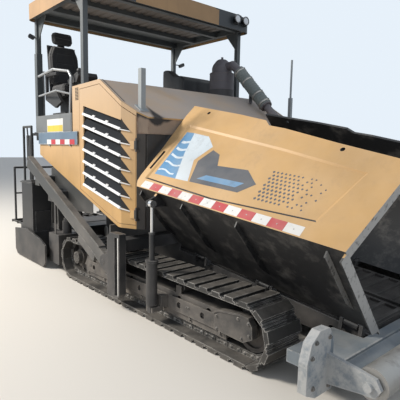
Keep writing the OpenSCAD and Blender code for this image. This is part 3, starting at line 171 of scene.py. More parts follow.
# Paint comes off along the edges, in patches.
edge_wear, gi, go = effect("edge wear", [("Radius", 0.012), ("Amount", 0.5), ("Scale", 9.0)],
                           [("Mask", "NodeSocketFloat")])
rounded = node(edge_wear, "Bevel", {"samples": 4}, Radius=gi.outputs["Radius"])
flat = node(edge_wear, "NewGeometry")
dot = node(edge_wear, "VectorMath", {"operation": "DOT_PRODUCT"}, i0=rounded.outputs[0],
           i1=flat.outputs["True Normal"])
edge = ramp(edge_wear, dot.outputs["Value"], 0.995, 0.86)
patches = node(edge_wear, "TexNoise", {"Detail": 5.0, "Roughness": 0.65}, Vector=where(edge_wear),
               Scale=gi.outputs["Scale"])
worn = maths(edge_wear, "MULTIPLY", edge, ramp(edge_wear, patches.outputs["Fac"], 0.38, 0.58))
edge_wear.links.new(maths(edge_wear, "MULTIPLY", worn, gi.outputs["Amount"]), go.inputs["Mask"])

# Dust lies on what faces up and near the ground.
dust, gi, go = effect("dust", [("Amount", 0.5), ("Scale", 3.0), ("Low", 0.0), ("High", 1.2)],
                      [("Mask", "NodeSocketFloat")])
near_ground = node(dust, "MapRange", Value=axes(dust, where(dust))["Z"])
dust.links.new(gi.outputs["High"], near_ground.inputs["From Min"])
dust.links.new(gi.outputs["Low"], near_ground.inputs["From Max"])
faced = axes(dust, node(dust, "NewGeometry").outputs["Normal"])
upwards = ramp(dust, faced["Z"], 0.15, 0.95)
clouds = node(dust, "TexNoise", {"Detail": 6.0, "Roughness": 0.6}, Vector=where(dust),
              Scale=gi.outputs["Scale"])
cloud = ramp(dust, clouds.outputs["Fac"], 0.33, 0.68)
lying = maths(dust, "MAXIMUM", maths(dust, "MULTIPLY", upwards, 0.75), near_ground.outputs["Result"])
dust.links.new(maths(dust, "MULTIPLY", maths(dust, "MULTIPLY", lying, cloud), gi.outputs["Amount"]),
               go.inputs["Mask"])

# Dirt runs down in broken streaks.
streaks, gi, go = effect("streaks", [("Amount", 0.5), ("Scale", 14.0)], [("Mask", "NodeSocketFloat")])
drawn = node(streaks, "Mapping", {"Scale": (1.0, 1.0, 0.06)}, Vector=where(streaks))
lines = node(streaks, "TexNoise", {"Detail": 4.0, "Roughness": 0.7}, Vector=drawn.outputs[0],
             Scale=gi.outputs["Scale"])
broken = node(streaks, "TexNoise", {"Scale": 2.2, "Detail": 3.0}, Vector=where(streaks))
streak = maths(streaks, "MULTIPLY", ramp(streaks, lines.outputs["Fac"], 0.52, 0.72),
               ramp(streaks, broken.outputs["Fac"], 0.4, 0.62))
streaks.links.new(maths(streaks, "MULTIPLY", streak, gi.outputs["Amount"]), go.inputs["Mask"])


def use(tree, group, **values):
    n = tree.nodes.new("ShaderNodeGroup")
    n.node_tree = group
    for key, value in values.items():
        n.inputs[key].default_value = value
    return n.outputs["Mask"]


# A painted or bare surface: its colour varies a little, wears to `bare` along the
# edges, carries `soil` in streaks, and lies under dust.
def weathered(name, colour, bare=(0.30, 0.29, 0.28), soil=(0.05, 0.045, 0.04), dusty=(0.45, 0.41, 0.36),
              rough=0.5, metal=0.0, wear=0.5, wear_radius=0.012, dirt=0.5, dirt_scale=3.0, low=0.0, high=1.2,
              run=0.4, bump=0.12, grain=60.0):
    m = bpy.data.materials.new(name)
    m.use_nodes = True
    t = m.node_tree
    skin = t.nodes["Principled BSDF"]
    skin.inputs["Metallic"].default_value = metal
    here = where(t)
    fade = node(t, "TexNoise", {"Scale": 1.7, "Detail": 4.0}, Vector=here)
    darker = tuple(c * 0.80 for c in colour)
    paint = blend_colours(t, ramp(t, fade.outputs["Fac"], 0.3, 0.7), darker,
                          tuple(min(1, c * 1.08) for c in colour))
    run_mask = use(t, streaks, Amount=run)
    paint = blend_colours(t, run_mask, paint, soil)
    wear_mask = use(t, edge_wear, Amount=wear, Radius=wear_radius)
    paint = blend_colours(t, wear_mask, paint, bare)
    dust_mask = use(t, dust, Amount=dirt, Scale=dirt_scale, Low=low, High=high)
    paint = blend_colours(t, dust_mask, paint, dusty)
    t.links.new(paint, skin.inputs["Base Color"])
    matt = maths(t, "ADD", maths(t, "MULTIPLY", dust_mask, 0.4), rough)
    t.links.new(matt, skin.inputs["Roughness"])
    fine = node(t, "TexNoise", {"Scale": grain, "Detail": 4.0}, Vector=here)
    relief = node(t, "Bump", {"Strength": bump, "Distance": 0.004}, Height=fine.outputs["Fac"])
    t.links.new(relief.outputs[0], skin.inputs["Normal"])
    return m


# What stands clear of the ground has only the dust that settles on it.
aloft = dict(low=-1, high=-0.5)


def coat(material, *names):
    for name in names:
        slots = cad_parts[name].material_slots
        for s in slots:
            s.material = material


track_dust = weathered("track steel", (0.032, 0.030, 0.028), bare=(0.50, 0.48, 0.45),
                       dusty=(0.25, 0.225, 0.195), rough=0.62, wear=0.9, wear_radius=0.014, dirt=0.6,
                       dirt_scale=6, low=0.0, high=0.30, bump=0.5, grain=45)
coat(track_dust, "track_right", "track_left")
roller_steel = weathered("track roller", (0.045, 0.040, 0.037), dusty=(0.22, 0.19, 0.165), rough=0.6,
                         wear=0.7, dirt=0.9, dirt_scale=8, low=0.05, high=0.6, bump=0.4)
coat(roller_steel, "track_wheels_right", "track_wheels_left")
guard_paint = weathered("track guard", (0.055, 0.052, 0.050), bare=(0.34, 0.31, 0.28),
                        dusty=(0.26, 0.23, 0.20), rough=0.65, wear=0.7, dirt=0.95, dirt_scale=5, low=0.05,
                        high=0.6, run=0.6, bump=0.35)
coat(guard_paint, "track_frame_right", "track_frame_left")


# A finished piece: its faces point outwards, and it rides on a body of the machine.
def add(name, shape, body, slot, *materials):
    bmesh.ops.recalc_face_normals(shape, faces=shape.faces)
    data = bpy.data.meshes.new(name)
    shape.to_mesh(data)
    shape.free()
    for m in materials:
        data.materials.append(m)
    piece = bpy.data.objects.new(name, data)
    bpy.context.collection.objects.link(piece)
    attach(piece, body)
    return piece


# A flat plate: an outline in X and Y, extruded from `low` to `high` along Z and placed by a matrix.
def slab(shape, outline, low, high, place, index=0):
    foot = shape.faces.new([shape.verts.new(place @ Vector((x, y, low))) for x, y in outline])
    raised = bmesh.ops.extrude_face_region(shape, geom=[foot])["geom"]
    corners = [part for part in raised if isinstance(part, bmesh.types.BMVert)]
    bmesh.ops.translate(shape, verts=corners, vec=place.to_3x3() @ Vector((0, 0, high - low)))
    for face in {foot}.union(*(corner.link_faces for corner in corners)):
        face.material_index = index


# A turned shape: a profile of radius and place along Z, spun round Z and placed by a matrix.
def lathe(shape, profile, place, steps=16, index=0):
    points = [shape.verts.new(place @ Vector((radius, 0, along))) for radius, along in profile]
    rail = [shape.edges.new(pair) for pair in zip(points, points[1:])]
    bmesh.ops.spin(shape, geom=points + rail, cent=place.translation, axis=place.to_3x3() @ Vector((0, 0, 1)),
                   angle=math.tau, steps=steps, use_merge=True)
    spun, fresh = set(), set(points)
    while fresh:
        spun |= fresh
        fresh = {end for point in fresh for edge in point.link_edges for end in edge.verts} - spun
    for face in set().union(*(point.link_faces for point in spun)):
        face.material_index = index
        face.smooth = steps > 6
    bmesh.ops.remove_doubles(shape, verts=list(spun), dist=0.00001)


def shift(x, y, z):
    return Matrix.Translation((x, y, z))


def turned(degrees, axis):
    return Matrix.Rotation(math.radians(degrees), 4, axis)


# Z points the way given, from a place on the machine.
def facing(x, y, z, way):
    return shift(x + DATUM, y, z) @ Vector(way).to_track_quat("Z", "Y").to_matrix().to_4x4()


# A washer under a hexagon head.
def bolt(shape, place, radius=0.014):
    lathe(shape, [(0, 0.0001), (radius * 1.25, 0.0001), (radius * 1.25, radius * 0.22),
                  (radius * 0.9, radius * 0.26)], place, 14)
    lathe(shape, [(radius * 0.9, radius * 0.2), (radius * 0.9, radius * 0.85), (radius * 0.75, radius),
                  (0, radius)], place, 6)


bolt_steel = weathered("bolt steel", (0.12, 0.115, 0.11), bare=(0.45, 0.43, 0.40), dusty=(0.36, 0.32, 0.28),
                       rough=0.5, metal=0.5, wear=0.8, wear_radius=0.004, dirt=0.6, low=0.0, high=0.8)
shoe_half = 0.200
guard_half = 0.105
guard_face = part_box("track_left")[1][1] - shoe_half + guard_half
first_roller = -0.320
roller_pitch = 2.350 / 6
bracket_pitch = 0.620
roller_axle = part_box("track_left")[1][2] / 2
roller_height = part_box("track_wheels_left")[0][2] + 0.060
cover_bolts = ((2.045, 0.215), (2.040, 0.325), (2.285, 0.375), (2.395, 0.365), (2.405, 0.270), (2.325, 0.225))
sprocket_x = -0.650
idler_x = 2.360
sprocket_bolts = 8
bolt_circle = 0.058
for side, name in ((-1, "right"), (1, "left")):
    heads = bmesh.new()
    out = (0, side, 0)
    for i in range(7):
        bolt(heads, facing(first_roller + i * roller_pitch, side * guard_face, roller_height, out), 0.017)
    for i in range(4):
        for x in (0.068, 0.092):
            bolt(heads, facing(first_roller + x + i * bracket_pitch, side * (guard_face + 0.022),
                               roller_height + 0.105, out), 0.010)
    for x, z in cover_bolts:
        bolt(heads, facing(x, side * (guard_face + 0.058), z, out), 0.012)
    for k in range(sprocket_bolts):
        turn = k * math.tau / sprocket_bolts
        bolt(heads, facing(sprocket_x + bolt_circle * math.cos(turn), side * (guard_face + 0.012),
                           roller_axle + bolt_circle * math.sin(turn), out), 0.009)
    add("track_bolts_" + name, heads, "root", "track_steel", bolt_steel)

# The chain has a link plate with its pin heads on both sides at every shoe.
shoe_count = 49
link_radius = roller_axle - 0.040
run = idler_x - sprocket_x
loop = 2 * run + math.tau * link_radius


# Place along X, height over the axles and heading, at a distance along the chain.
def on_loop(distance):
    distance %= loop
    bend = math.pi * link_radius
    if distance < run:
        return sprocket_x + distance, -link_radius, 0.0
    if distance < run + bend:
        heading = (distance - run) / link_radius
        return idler_x + link_radius * math.sin(heading), -link_radius * math.cos(heading), heading
    if distance < 2 * run + bend:
        return idler_x - (distance - run - bend), link_radius, math.pi
    heading = math.pi + (distance - 2 * run - bend) / link_radius
    return sprocket_x + link_radius * math.sin(heading), -link_radius * math.cos(heading), heading


chain_middle = guard_face - guard_half
link_out = 0.075
link_outline = [(-0.066, -0.012), (-0.060, -0.006), (-0.030, -0.010), (0.030, -0.010), (0.060, -0.006),
                (0.066, -0.012), (0.066, -0.040), (0.058, -0.050), (0.030, -0.042), (-0.030, -0.042),
                (-0.058, -0.050), (-0.066, -0.040)]
for side, name in ((-1, "right"), (1, "left")):
    links = bmesh.new()
    for i in range(shoe_count):
        for face in (-1, 1):
            x, z, heading = on_loop((i + 0.5) * loop / shoe_count)
            along = Vector((math.cos(heading), 0, math.sin(heading)))
            outward = Vector((math.sin(heading), 0, -math.cos(heading)))
            beside = Vector((0, face, 0))
            middle = Vector((x + DATUM, side * chain_middle + face * link_out, z + roller_axle))
            place = Matrix.Translation(middle) @ Matrix((along, outward, beside)).transposed().to_4x4()
            slab(links, link_outline, 0.0001, 0.0060, place)
            for x in (-0.040, 0.040):
                lathe(links, [(0.013, 0.0055), (0.012, 0.0110), (0, 0.0115)], place @ shift(x, -0.028, 0), 8)
    add("track_links_" + name, links, "root", "track_steel", track_dust)

# Main frame, engine and conveyor: welded plate and castings in dark paint, under dust. What the
# asphalt touches, the conveyor and the hopper's rear wall, carries a film of bitumen.
frame_paint = weathered("frame paint", (0.028, 0.029, 0.031), dusty=(0.19, 0.17, 0.155), wear=0.35, dirt=0.6,
                        low=0.1, high=1.3, rough=0.5)
coat(frame_paint, "main_frame", "auger_frame", "platform")
coat(weathered("engine casting", (0.06, 0.062, 0.065), rough=0.6, dirt=0.5), "engine_block")
bitumen = weathered("bitumen film", (0.028, 0.026, 0.025), bare=(0.2, 0.19, 0.18), dusty=(0.22, 0.20, 0.18),
                    rough=0.42, wear=0.5, dirt=0.6, bump=0.5, grain=30)
coat(bitumen, "conveyor", "hopper_rear_wall")

# Push beam: a welded box beam between two end plates, bolted on ahead of the hopper, with two
# steel rollers. Its blue-grey paint is scuffed to bare metal on the end plates.

# A second finish lies over a material wherever the mask says so.
def overlay(material, mask, colour, rough=None):
    t = material.node_tree
    skin = t.nodes["Principled BSDF"]
    old = skin.inputs["Base Color"].links[0].from_socket
    t.links.new(blend_colours(t, mask, old, colour), skin.inputs["Base Color"])
    if rough is not None:
        matt = skin.inputs["Roughness"].links[0].from_socket
        t.links.new(maths(t, "ADD", matt, maths(t, "MULTIPLY", mask, rough)), skin.inputs["Roughness"])


beam_scuffed = weathered("beam scuffed", (0.20, 0.235, 0.265), bare=(0.50, 0.49, 0.46),
                         dusty=(0.40, 0.39, 0.37), wear=1.0, wear_radius=0.018, dirt=0.7, low=-0.5, high=0.5,
                         rough=0.45)
end_plate_in = 1.432
t = beam_scuffed.node_tree
at = axes(t, where(t))
scuff = node(t, "TexNoise", {"Scale": 11.0, "Detail": 7.0, "Roughness": 0.7}, Vector=where(t))
ends = maths(t, "GREATER_THAN", maths(t, "ABSOLUTE", at["Y"], 0), end_plate_in)
overlay(beam_scuffed, maths(t, "MULTIPLY", ends, ramp(t, scuff.outputs["Fac"], 0.36, 0.56)),
        (0.42, 0.42, 0.41), 0.05)
coat(beam_scuffed, "push_beam")
worn_steel = weathered("worn steel", (0.40, 0.39, 0.37), soil=(0.12, 0.10, 0.09), dusty=(0.42, 0.39, 0.35),
                       rough=0.4, metal=0.7, wear=0.3, dirt=0.6, run=0.6, bump=0.3)
coat(worn_steel, "push_roller_right", "push_roller_left", "auger_right", "auger_left")
beam_front = 3.110
lip_front = 3.136
for side, name in ((-1, "right"), (1, "left")):
    heads = bmesh.new()
    for y, z in ((1.445, 0.190), (1.620, 0.225), (1.640, 0.430), (1.600, 0.520), (1.450, 0.520)):
        bolt(heads, facing(beam_front, side * y, z, (1, 0, 0)), 0.014)
    for y in (0.200, 0.420, 0.700, 0.950, 1.200, 1.360):
        bolt(heads, facing(lip_front, side * y, 0.208, (1, 0, 0)), 0.010)
    add("push_beam_bolts_" + name, heads, "root", "beam_blue", bolt_steel)

# Tall side bodies: folded sheet in faded yellow enamel, bleached high up and chipped along the
# folds. Each stands beside the engine, and its sheet beside the hopper is black with bitumen film.
YELLOW = (0.57, 0.345, 0.135)
yellow_wear = dict(bare=(0.42, 0.33, 0.25), soil=(0.20, 0.12, 0.06), dusty=(0.60, 0.44, 0.29), rough=0.42,
                   wear=0.55, wear_radius=0.006, dirt=0.7, dirt_scale=2.2, **aloft, run=0.25, bump=0.05)
yellow = weathered("faded yellow", YELLOW, **yellow_wear)


def between(tree, value, low, high):
    above = maths(tree, "GREATER_THAN", value, low)
    return maths(tree, "MULTIPLY", above, maths(tree, "LESS_THAN", value, high))


# A paler, pinker film over the upper part of the tall panels.
def sun_bleach(material):
    t = material.node_tree
    at = axes(t, where(t))
    cloud = node(t, "TexNoise", {"Scale": 1.6, "Detail": 4.0}, Vector=where(t))
    high = ramp(t, maths(t, "ADD", at["Z"], maths(t, "MULTIPLY", cloud.outputs["Fac"], 0.5)), 1.45, 2.70)
    overlay(material, maths(t, "MULTIPLY", high, 0.75), (0.52, 0.385, 0.265), 0.12)


t = yellow.node_tree
at = axes(t, where(t))
sun_bleach(yellow)
bitumen_start = 0.663 + DATUM
overlay(yellow, maths(t, "GREATER_THAN", at["X"], bitumen_start), (0.050, 0.042, 0.036), 0.1)
coat(yellow, "side_body_right", "side_body_left")
# Painted shade: black for the vent slots and the louvre slots' ends, whose openings lie in shade.
slot_shade_black = weathered("slot shade black", (0.012, 0.012, 0.013), rough=0.8, wear=0, dirt=0.2, **aloft)


# Seen square to the machine's side: X ahead, Y up, outward is Z, at a distance from the middle.
def side_frame(side, y):
    return Matrix(((1, 0, 0, DATUM), (0, 0, side, side * y), (0, 1, 0, 0), (0, 0, 0, 1)))


def rectangle(x0, y0, x1, y1):
    return [(x0, y0), (x1, y0), (x1, y1), (x0, y1)]


body_half = 1.400
vent_pitch = 0.0172
# Each vent slot is a thin black plate of painted shade on the side sheet.
for side, name in ((-1, "right"), (1, "left")):
    vents = bmesh.new()
    for row in range(9):
        for x in (-0.586, -0.540):
            z = 2.275 + row * vent_pitch
            slab(vents, rectangle(x, z, x + 0.040, z + 0.0105), 0.0001, 0.0009, side_frame(side, body_half))
    add("side_vents_" + name, vents, "root", "yellow", slot_shade_black)

# Louvre doors: hinged yellow sheet with pressed blades over seven slots. The blades carry painted
# shade in near-black slate grey, and a painted highlight in white along the lip, which carries two low bumps
# and runs on over the chamfered corner.
louvre_count = 7
louvre_pitch = 0.138
louvre_width = 0.860
louvre_slope = math.atan(0.232)
louvre_corner = (-0.380 + DATUM, body_half, 2.196)
slot_from = 0.80
lip_from = 0.56
hinge_edge = 0.6535 + DATUM
door_paint = weathered("louvre door", YELLOW, **yellow_wear)
sun_bleach(door_paint)
t = door_paint.node_tree
at = axes(t, where(t))
from_x = maths(t, "SUBTRACT", at["X"], louvre_corner[0])
from_z = maths(t, "SUBTRACT", at["Z"], louvre_corner[2])
down = maths(t, "ADD", maths(t, "MULTIPLY", from_x, math.sin(louvre_slope)),
             maths(t, "MULTIPLY", from_z, math.cos(louvre_slope)))
blade = maths(t, "DIVIDE", down, -louvre_pitch)
in_window = maths(t, "MULTIPLY", between(t, from_x, 0.001, louvre_width + 0.001),
                  between(t, blade, 0.0, louvre_count - 0.05))
share = maths(t, "FRACT", blade, 0)
in_window = maths(t, "MULTIPLY", in_window, maths(t, "LESS_THAN", share, slot_from))
# Painted shade: the slots and blade faces inside the window are darkened near black; the added roughness is
# real.
overlay(door_paint, in_window, (0.008, 0.011, 0.015), 0.5)
# Painted highlight: each blade's lip is whitened.
overlay(door_paint, maths(t, "MULTIPLY", in_window, maths(t, "GREATER_THAN", share, lip_from)),
        (0.78, 0.79, 0.80))
overlay(door_paint, maths(t, "GREATER_THAN", at["X"], hinge_edge), (0.035, 0.034, 0.033))
coat(door_paint, "door_right", "door_left")
# Painted highlight in white, for the blades' bumps and for the lips on the chamfered corner.
louvre_highlight_white = weathered("louvre highlight white", (0.78, 0.79, 0.80), dusty=(0.5, 0.46, 0.41), rough=0.45, wear=0.3,
                         wear_radius=0.004, dirt=0.5, **aloft)
# Painted shade in slate grey, for the blades' faces.
louvre_shade_slate = weathered("louvre shade slate", (0.016, 0.020, 0.025), dusty=(0.3, 0.29, 0.27), rough=0.6, wear=0.3,
                         dirt=0.2, **aloft)
slot_end = louvre_corner[2] - louvre_width * math.tan(louvre_slope)
bump_outline = [(-0.086, 0.012), (-0.082, 0.020), (-0.064, 0.014), (-0.058, 0.002)]
endwise = Matrix(((0, 0, 1, 0), (0, 1, 0, 0), (1, 0, 0, 0), (0, 0, 0, 1)))
# Along the chamfered corner, up, and out of it.
chamfer_turn = math.atan2(0.075, 0.180)
chamfer_face = Matrix(((math.cos(chamfer_turn), 0, math.sin(chamfer_turn), 0),
                       (-math.sin(chamfer_turn), 0, math.cos(chamfer_turn), 0), (0, 1, 0, 0), (0, 0, 0, 1)))
for side, name in ((-1, "right"), (1, "left")):
    mirror = Matrix.Diagonal((1, side, 1, 1))
    window = mirror @ shift(*louvre_corner) @ Matrix.Rotation(louvre_slope, 4, "Y")
    tabs = bmesh.new()
    for i in range(louvre_count):
        blade_start = i * louvre_pitch * math.tan(louvre_slope)
        for x in (0.30, 0.61):
            place = window @ shift(x + blade_start, 0, -i * louvre_pitch) @ endwise
            slab(tabs, bump_outline, -0.026, 0.026, place)
        # The slot's painted shade, a black point on the chamfered corner, and the painted highlight of the
        # white lip below it
        slot_height = slot_end - i * louvre_pitch / math.cos(louvre_slope)
        chamfer = mirror @ shift(louvre_corner[0] + louvre_width, body_half, slot_height) @ chamfer_face
        slab(tabs, [(0.002, 0.010), (0.118, -0.112), (0.002, -0.088)], 0.0002, 0.0010, chamfer, 2)
        slab(tabs, [(-0.010, -0.090), (0.122, -0.115), (0.122, -0.122), (-0.010, -0.103)], 0.0002, 0.0130,
             chamfer, 0)
    add("louvre_tabs_" + name, tabs, "door_" + name, "yellow", louvre_highlight_white, louvre_shade_slate, slot_shade_black)

# Hood: folded sheet over the engine in the same enamel, with a grey-brown film on what faces up,
# bitumen spilt at its right corner, and a rubber seal along both edges.
hood_paint = weathered("dusty hood", YELLOW, **{**yellow_wear, "dirt": 0.9})
t = hood_paint.node_tree
turn = axes(t, node(t, "NewGeometry").outputs["Normal"])
wash = node(t, "TexNoise", {"Scale": 1.1, "Detail": 6.0, "Roughness": 0.6}, Vector=where(t))
film = maths(t, "MULTIPLY", ramp(t, turn["Z"], 0.3, 0.8), ramp(t, wash.outputs["Fac"], 0.10, 0.50))
overlay(hood_paint, film, (0.43, 0.365, 0.315), 0.15)
at = axes(t, where(t))
spill_half = 0.095
spill_middle = 1.11
hood_front = 0.700 + DATUM
spill = maths(t, "SUBTRACT", spill_half, maths(t, "ABSOLUTE", maths(t, "ADD", at["Y"], spill_middle), 0))
spill = maths(t, "SUBTRACT", spill, maths(t, "MULTIPLY", maths(t, "SUBTRACT", hood_front, at["X"]), 0.30))
spill = maths(t, "ADD", spill, maths(t, "MULTIPLY", wash.outputs["Fac"], 0.06))
overlay(hood_paint, ramp(t, spill, 0.055, spill_half), (0.035, 0.030, 0.028), 0.2)
coat(hood_paint, "hood")
rubber = weathered("seal rubber", (0.018, 0.017, 0.017), dusty=(0.25, 0.22, 0.19), rough=0.7, wear=0,
                   dirt=0.6, **aloft)
for side, name in ((-1, "right"), (1, "left")):
    seal = bmesh.new()
    for start, end in (((-0.665, 2.449), (0.018, 2.4695)), ((0.022, 2.4685), (0.480, 2.193))):
        drop = (start[1] - end[1]) / (end[0] - start[0])
        outline = [start, (end[0], start[1] - drop * (end[0] - start[0])), (end[0], end[1] + 0.003),
                   (start[0], start[1] + 0.003)]
        slab(seal, outline, 1.352, 1.362, side_frame(side, 0))
    add("hood_seal_" + name, seal, "root", "yellow", rubber)

# Apron: the sheet between the hood and the hopper, in rusty primer. Bitumen that ran over the
# hood's edge has stained it black at the top.
rust_sheet = weathered("rusty primer", (0.36, 0.27, 0.20), bare=(0.15, 0.08, 0.05), soil=(0.07, 0.045, 0.035),
                       dusty=(0.52, 0.44, 0.36), rough=0.7, wear=0.9, wear_radius=0.03, dirt=0.6, run=0.9,
                       bump=0.25)
t = rust_sheet.node_tree
at = axes(t, where(t))
edge = node(t, "TexNoise", {"Scale": 9.0, "Detail": 6.0}, Vector=where(t))
stain_middle = 1.12
stain_line = 1.955
across = maths(t, "MULTIPLY", maths(t, "ABSOLUTE", maths(t, "ADD", at["Y"], stain_middle), 0), 0.45)
above = maths(t, "SUBTRACT", at["Z"], stain_line)
stain = maths(t, "ADD", maths(t, "SUBTRACT", above, across), maths(t, "MULTIPLY", edge.outputs["Fac"], 0.09))
overlay(rust_sheet, ramp(t, stain, 0.015, 0.045), (0.030, 0.026, 0.024), 0.1)
coat(rust_sheet, "apron")

# Hopper wings: welded plate with a folded wall and a pressed panel, hinged on the frame. The wall is
# yellow outside only; the rest is dark steel stained by asphalt, which on the underside is also painted
# shade, with a front flange worn bright.
wing_rear = 0.860 + DATUM
wing_fall = 5.7
hinge_height = 0.557
corner_out = 1.450
corner_up = 0.755
flange_start = 2.60
wing_paint = weathered("wing paint", YELLOW, **{**yellow_wear, "dirt": 0.5})
t = wing_paint.node_tree
at = axes(t, where(t))
turn = axes(t, node(t, "NewGeometry").outputs["True Normal"])
outward = maths(t, "MULTIPLY", turn["Y"], maths(t, "SIGN", at["Y"], 0))
outside = maths(t, "MULTIPLY", maths(t, "GREATER_THAN", outward, 0.3),
                maths(t, "GREATER_THAN", turn["Z"], -0.1))
fold_slope = math.tan(math.radians(wing_fall))
fold_height = hinge_height + corner_up - 0.022
fold = fold_height + fold_slope * wing_rear
over_fold = maths(t, "ADD", at["Z"], maths(t, "MULTIPLY", at["X"], fold_slope))
outside = maths(t, "MULTIPLY", outside, maths(t, "GREATER_THAN", over_fold, fold))
inside = maths(t, "SUBTRACT", 1.0, outside)
blots = node(t, "TexNoise", {"Scale": 3.5, "Detail": 8.0, "Roughness": 0.7}, Vector=where(t))
film = blend_colours(t, ramp(t, blots.outputs["Fac"], 0.50, 0.66), (0.020, 0.020, 0.021),
                     (0.115, 0.108, 0.10))
# Asphalt stain and painted shade: the dark film covers the hopper's inside and also the underside, which is
# dark because it lies in shade.
overlay(wing_paint, inside, film, 0.05)
speck = node(t, "TexNoise", {"Scale": 26.0, "Detail": 3.0}, Vector=where(t))
ahead = maths(t, "MULTIPLY", maths(t, "GREATER_THAN", turn["X"], 0.6),
              maths(t, "GREATER_THAN", at["X"], flange_start))
ahead = maths(t, "MULTIPLY", ahead, ramp(t, speck.outputs["Fac"], 0.74, 0.56))
overlay(wing_paint, ahead, (0.40, 0.39, 0.37))
coat(wing_paint, "wing_right", "wing_left")


# The wing's wall: X along the wing from its rear, Y up the wall, outward is -Z.
def wall_frame(side):
    hinge = shift(wing_rear, 0, hinge_height) @ turned(wing_fall, "Y")
    return Matrix.Diagonal((1, side, 1, 1)) @ hinge @ shift(0, corner_out, corner_up) @ turned(135, "X")


# A band of red and white reflective tape is riveted along the wall's lower edge, and the pressed
# panel has a generic pattern of waves and diamonds.
tape_red = weathered("reflective red", (0.50, 0.035, 0.045), bare=(0.7, 0.6, 0.55), dusty=(0.55, 0.42, 0.36),
                     rough=0.3, wear=0.2, dirt=0.5, **aloft)
tape_white = weathered("reflective white", (0.78, 0.77, 0.74), dusty=(0.60, 0.56, 0.5), rough=0.3, wear=0.2,
                       dirt=0.5, **aloft)
sticker_blue = weathered("sticker blue", (0.10, 0.27, 0.48), bare=(0.5, 0.5, 0.48), dusty=(0.42, 0.44, 0.45),
                         rough=0.35, wear=0, dirt=0.6, **aloft)
sticker_white = weathered("sticker white", (0.62, 0.70, 0.76), dusty=(0.55, 0.52, 0.48), rough=0.35, wear=0,
                          dirt=0.5, **aloft)
sticker_slate = weathered("sticker slate", (0.060, 0.070, 0.088), dusty=(0.30, 0.27, 0.24), rough=0.4, wear=0,
                          dirt=0.5, **aloft)
tape_count = 13
tape_length = 0.1475
tape_face = -0.0221
rivet_face = -0.0227
panel_face = -0.0100
sticker = 0.0006
for side, name in ((-1, "right"), (1, "left")):
    wall = wall_frame(side)
    band = bmesh.new()
    for i in range(tape_count):
        x = 0.005 + i * tape_length
        slab(band, rectangle(x, 0.006, x + tape_length - 0.0015, 0.086), tape_face - 0.0007, tape_face, wall,
             (i + 1) % 2)
        rivet = [(x + 0.074 + 0.005 * math.cos(a), 0.046 + 0.005 * math.sin(a))
                 for a in (0, 1.05, 2.1, 3.15, 4.2, 5.25)]
        slab(band, rivet, rivet_face - 0.0018, rivet_face, wall, 2)
    add("reflective_tape_" + name, band, "wing_" + name, "yellow", tape_red, tape_white, worn_steel)
    art = bmesh.new()
    under = (panel_face - sticker, panel_face, wall)
    upper = (panel_face - 2 * sticker, panel_face - sticker, wall)
    slab(art, [(0.03, 0.200), (0.36, 0.205), (0.20, 0.52), (0.10, 0.800), (-0.02, 0.800)], *under)
    slab(art, [(0.36, 0.205), (0.54, 0.210), (0.40, 0.46), (0.50, 0.66), (0.34, 0.780), (0.10, 0.800),
               (0.20, 0.52)], *under, 1)
    for k in range(5):
        y = 0.27 + k * 0.105
        wave = [(0.03 + j * 0.052, y + 0.018 * math.sin(j * 1.1 + k)) for j in range(6)]
        lower = [(x, v - 0.018 - 0.004 * k) for x, v in reversed(wave)]
        slab(art, wave + lower, *upper, 1)
    slab(art, [(0.56, 0.212), (1.16, 0.226), (1.28, 0.345), (1.10, 0.470), (0.74, 0.450), (0.66, 0.58),
               (0.54, 0.62), (0.46, 0.46)], *under, 2)
    slab(art, [(0.62, 0.262), (1.10, 0.270), (1.16, 0.330), (0.70, 0.322)], *upper)
    for row in range(9):
        for column in range(15):
            reach = 0.0165 - 0.0005 * column - 0.0005 * abs(row - 3)
            x = 1.36 + column * 0.040 + 0.020 * (row % 2)
            y = 0.215 + row * 0.036
            if (column * 5 + row * 3) % 7 < max(0, column - 6) * 0.8 or x > 1.90:
                continue
            slab(art, [(x - reach, y), (x, y - reach), (x + reach, y), (x, y + reach)], *under, 2)
    add("wing_pattern_" + name, art, "wing_" + name, "yellow", sticker_blue, sticker_white, sticker_slate)

# Screed, tow arms, guides and cylinders: heavy welded steel in black and dark grey paint, pinned to
# the frame. The rods are chromed and stay bright where they slide.
arm_grey = weathered("arm grey", (0.060, 0.062, 0.062), bare=(0.36, 0.35, 0.33), dusty=(0.30, 0.27, 0.24),
                     wear=0.8, dirt=0.75, low=0.2, high=1.1, rough=0.5)
coat(arm_grey, "screed_arm_right", "screed_arm_left", "skirt_plates")
screed_black = weathered("screed black", (0.022, 0.023, 0.025), bare=(0.30, 0.29, 0.28),
                         dusty=(0.20, 0.18, 0.165), wear=0.7, dirt=0.7, low=0.0, high=0.9, rough=0.5)
coat(screed_black, "screed_main", "screed_extension_right", "screed_extension_left", "end_gate_right",
     "end_gate_left", "screed_walk_right", "screed_walk_left", "tow_guide_right", "tow_guide_left",
     "barrel_right", "barrel_left")
hard_chrome = weathered("hard chrome", (0.75, 0.76, 0.77), soil=(0.3, 0.29, 0.27), rough=0.15, metal=0.9,
                        wear=0, dirt=0.3, run=0.25, bump=0.0)
coat(hard_chrome, "rod_right", "rod_left", "tow_rods")

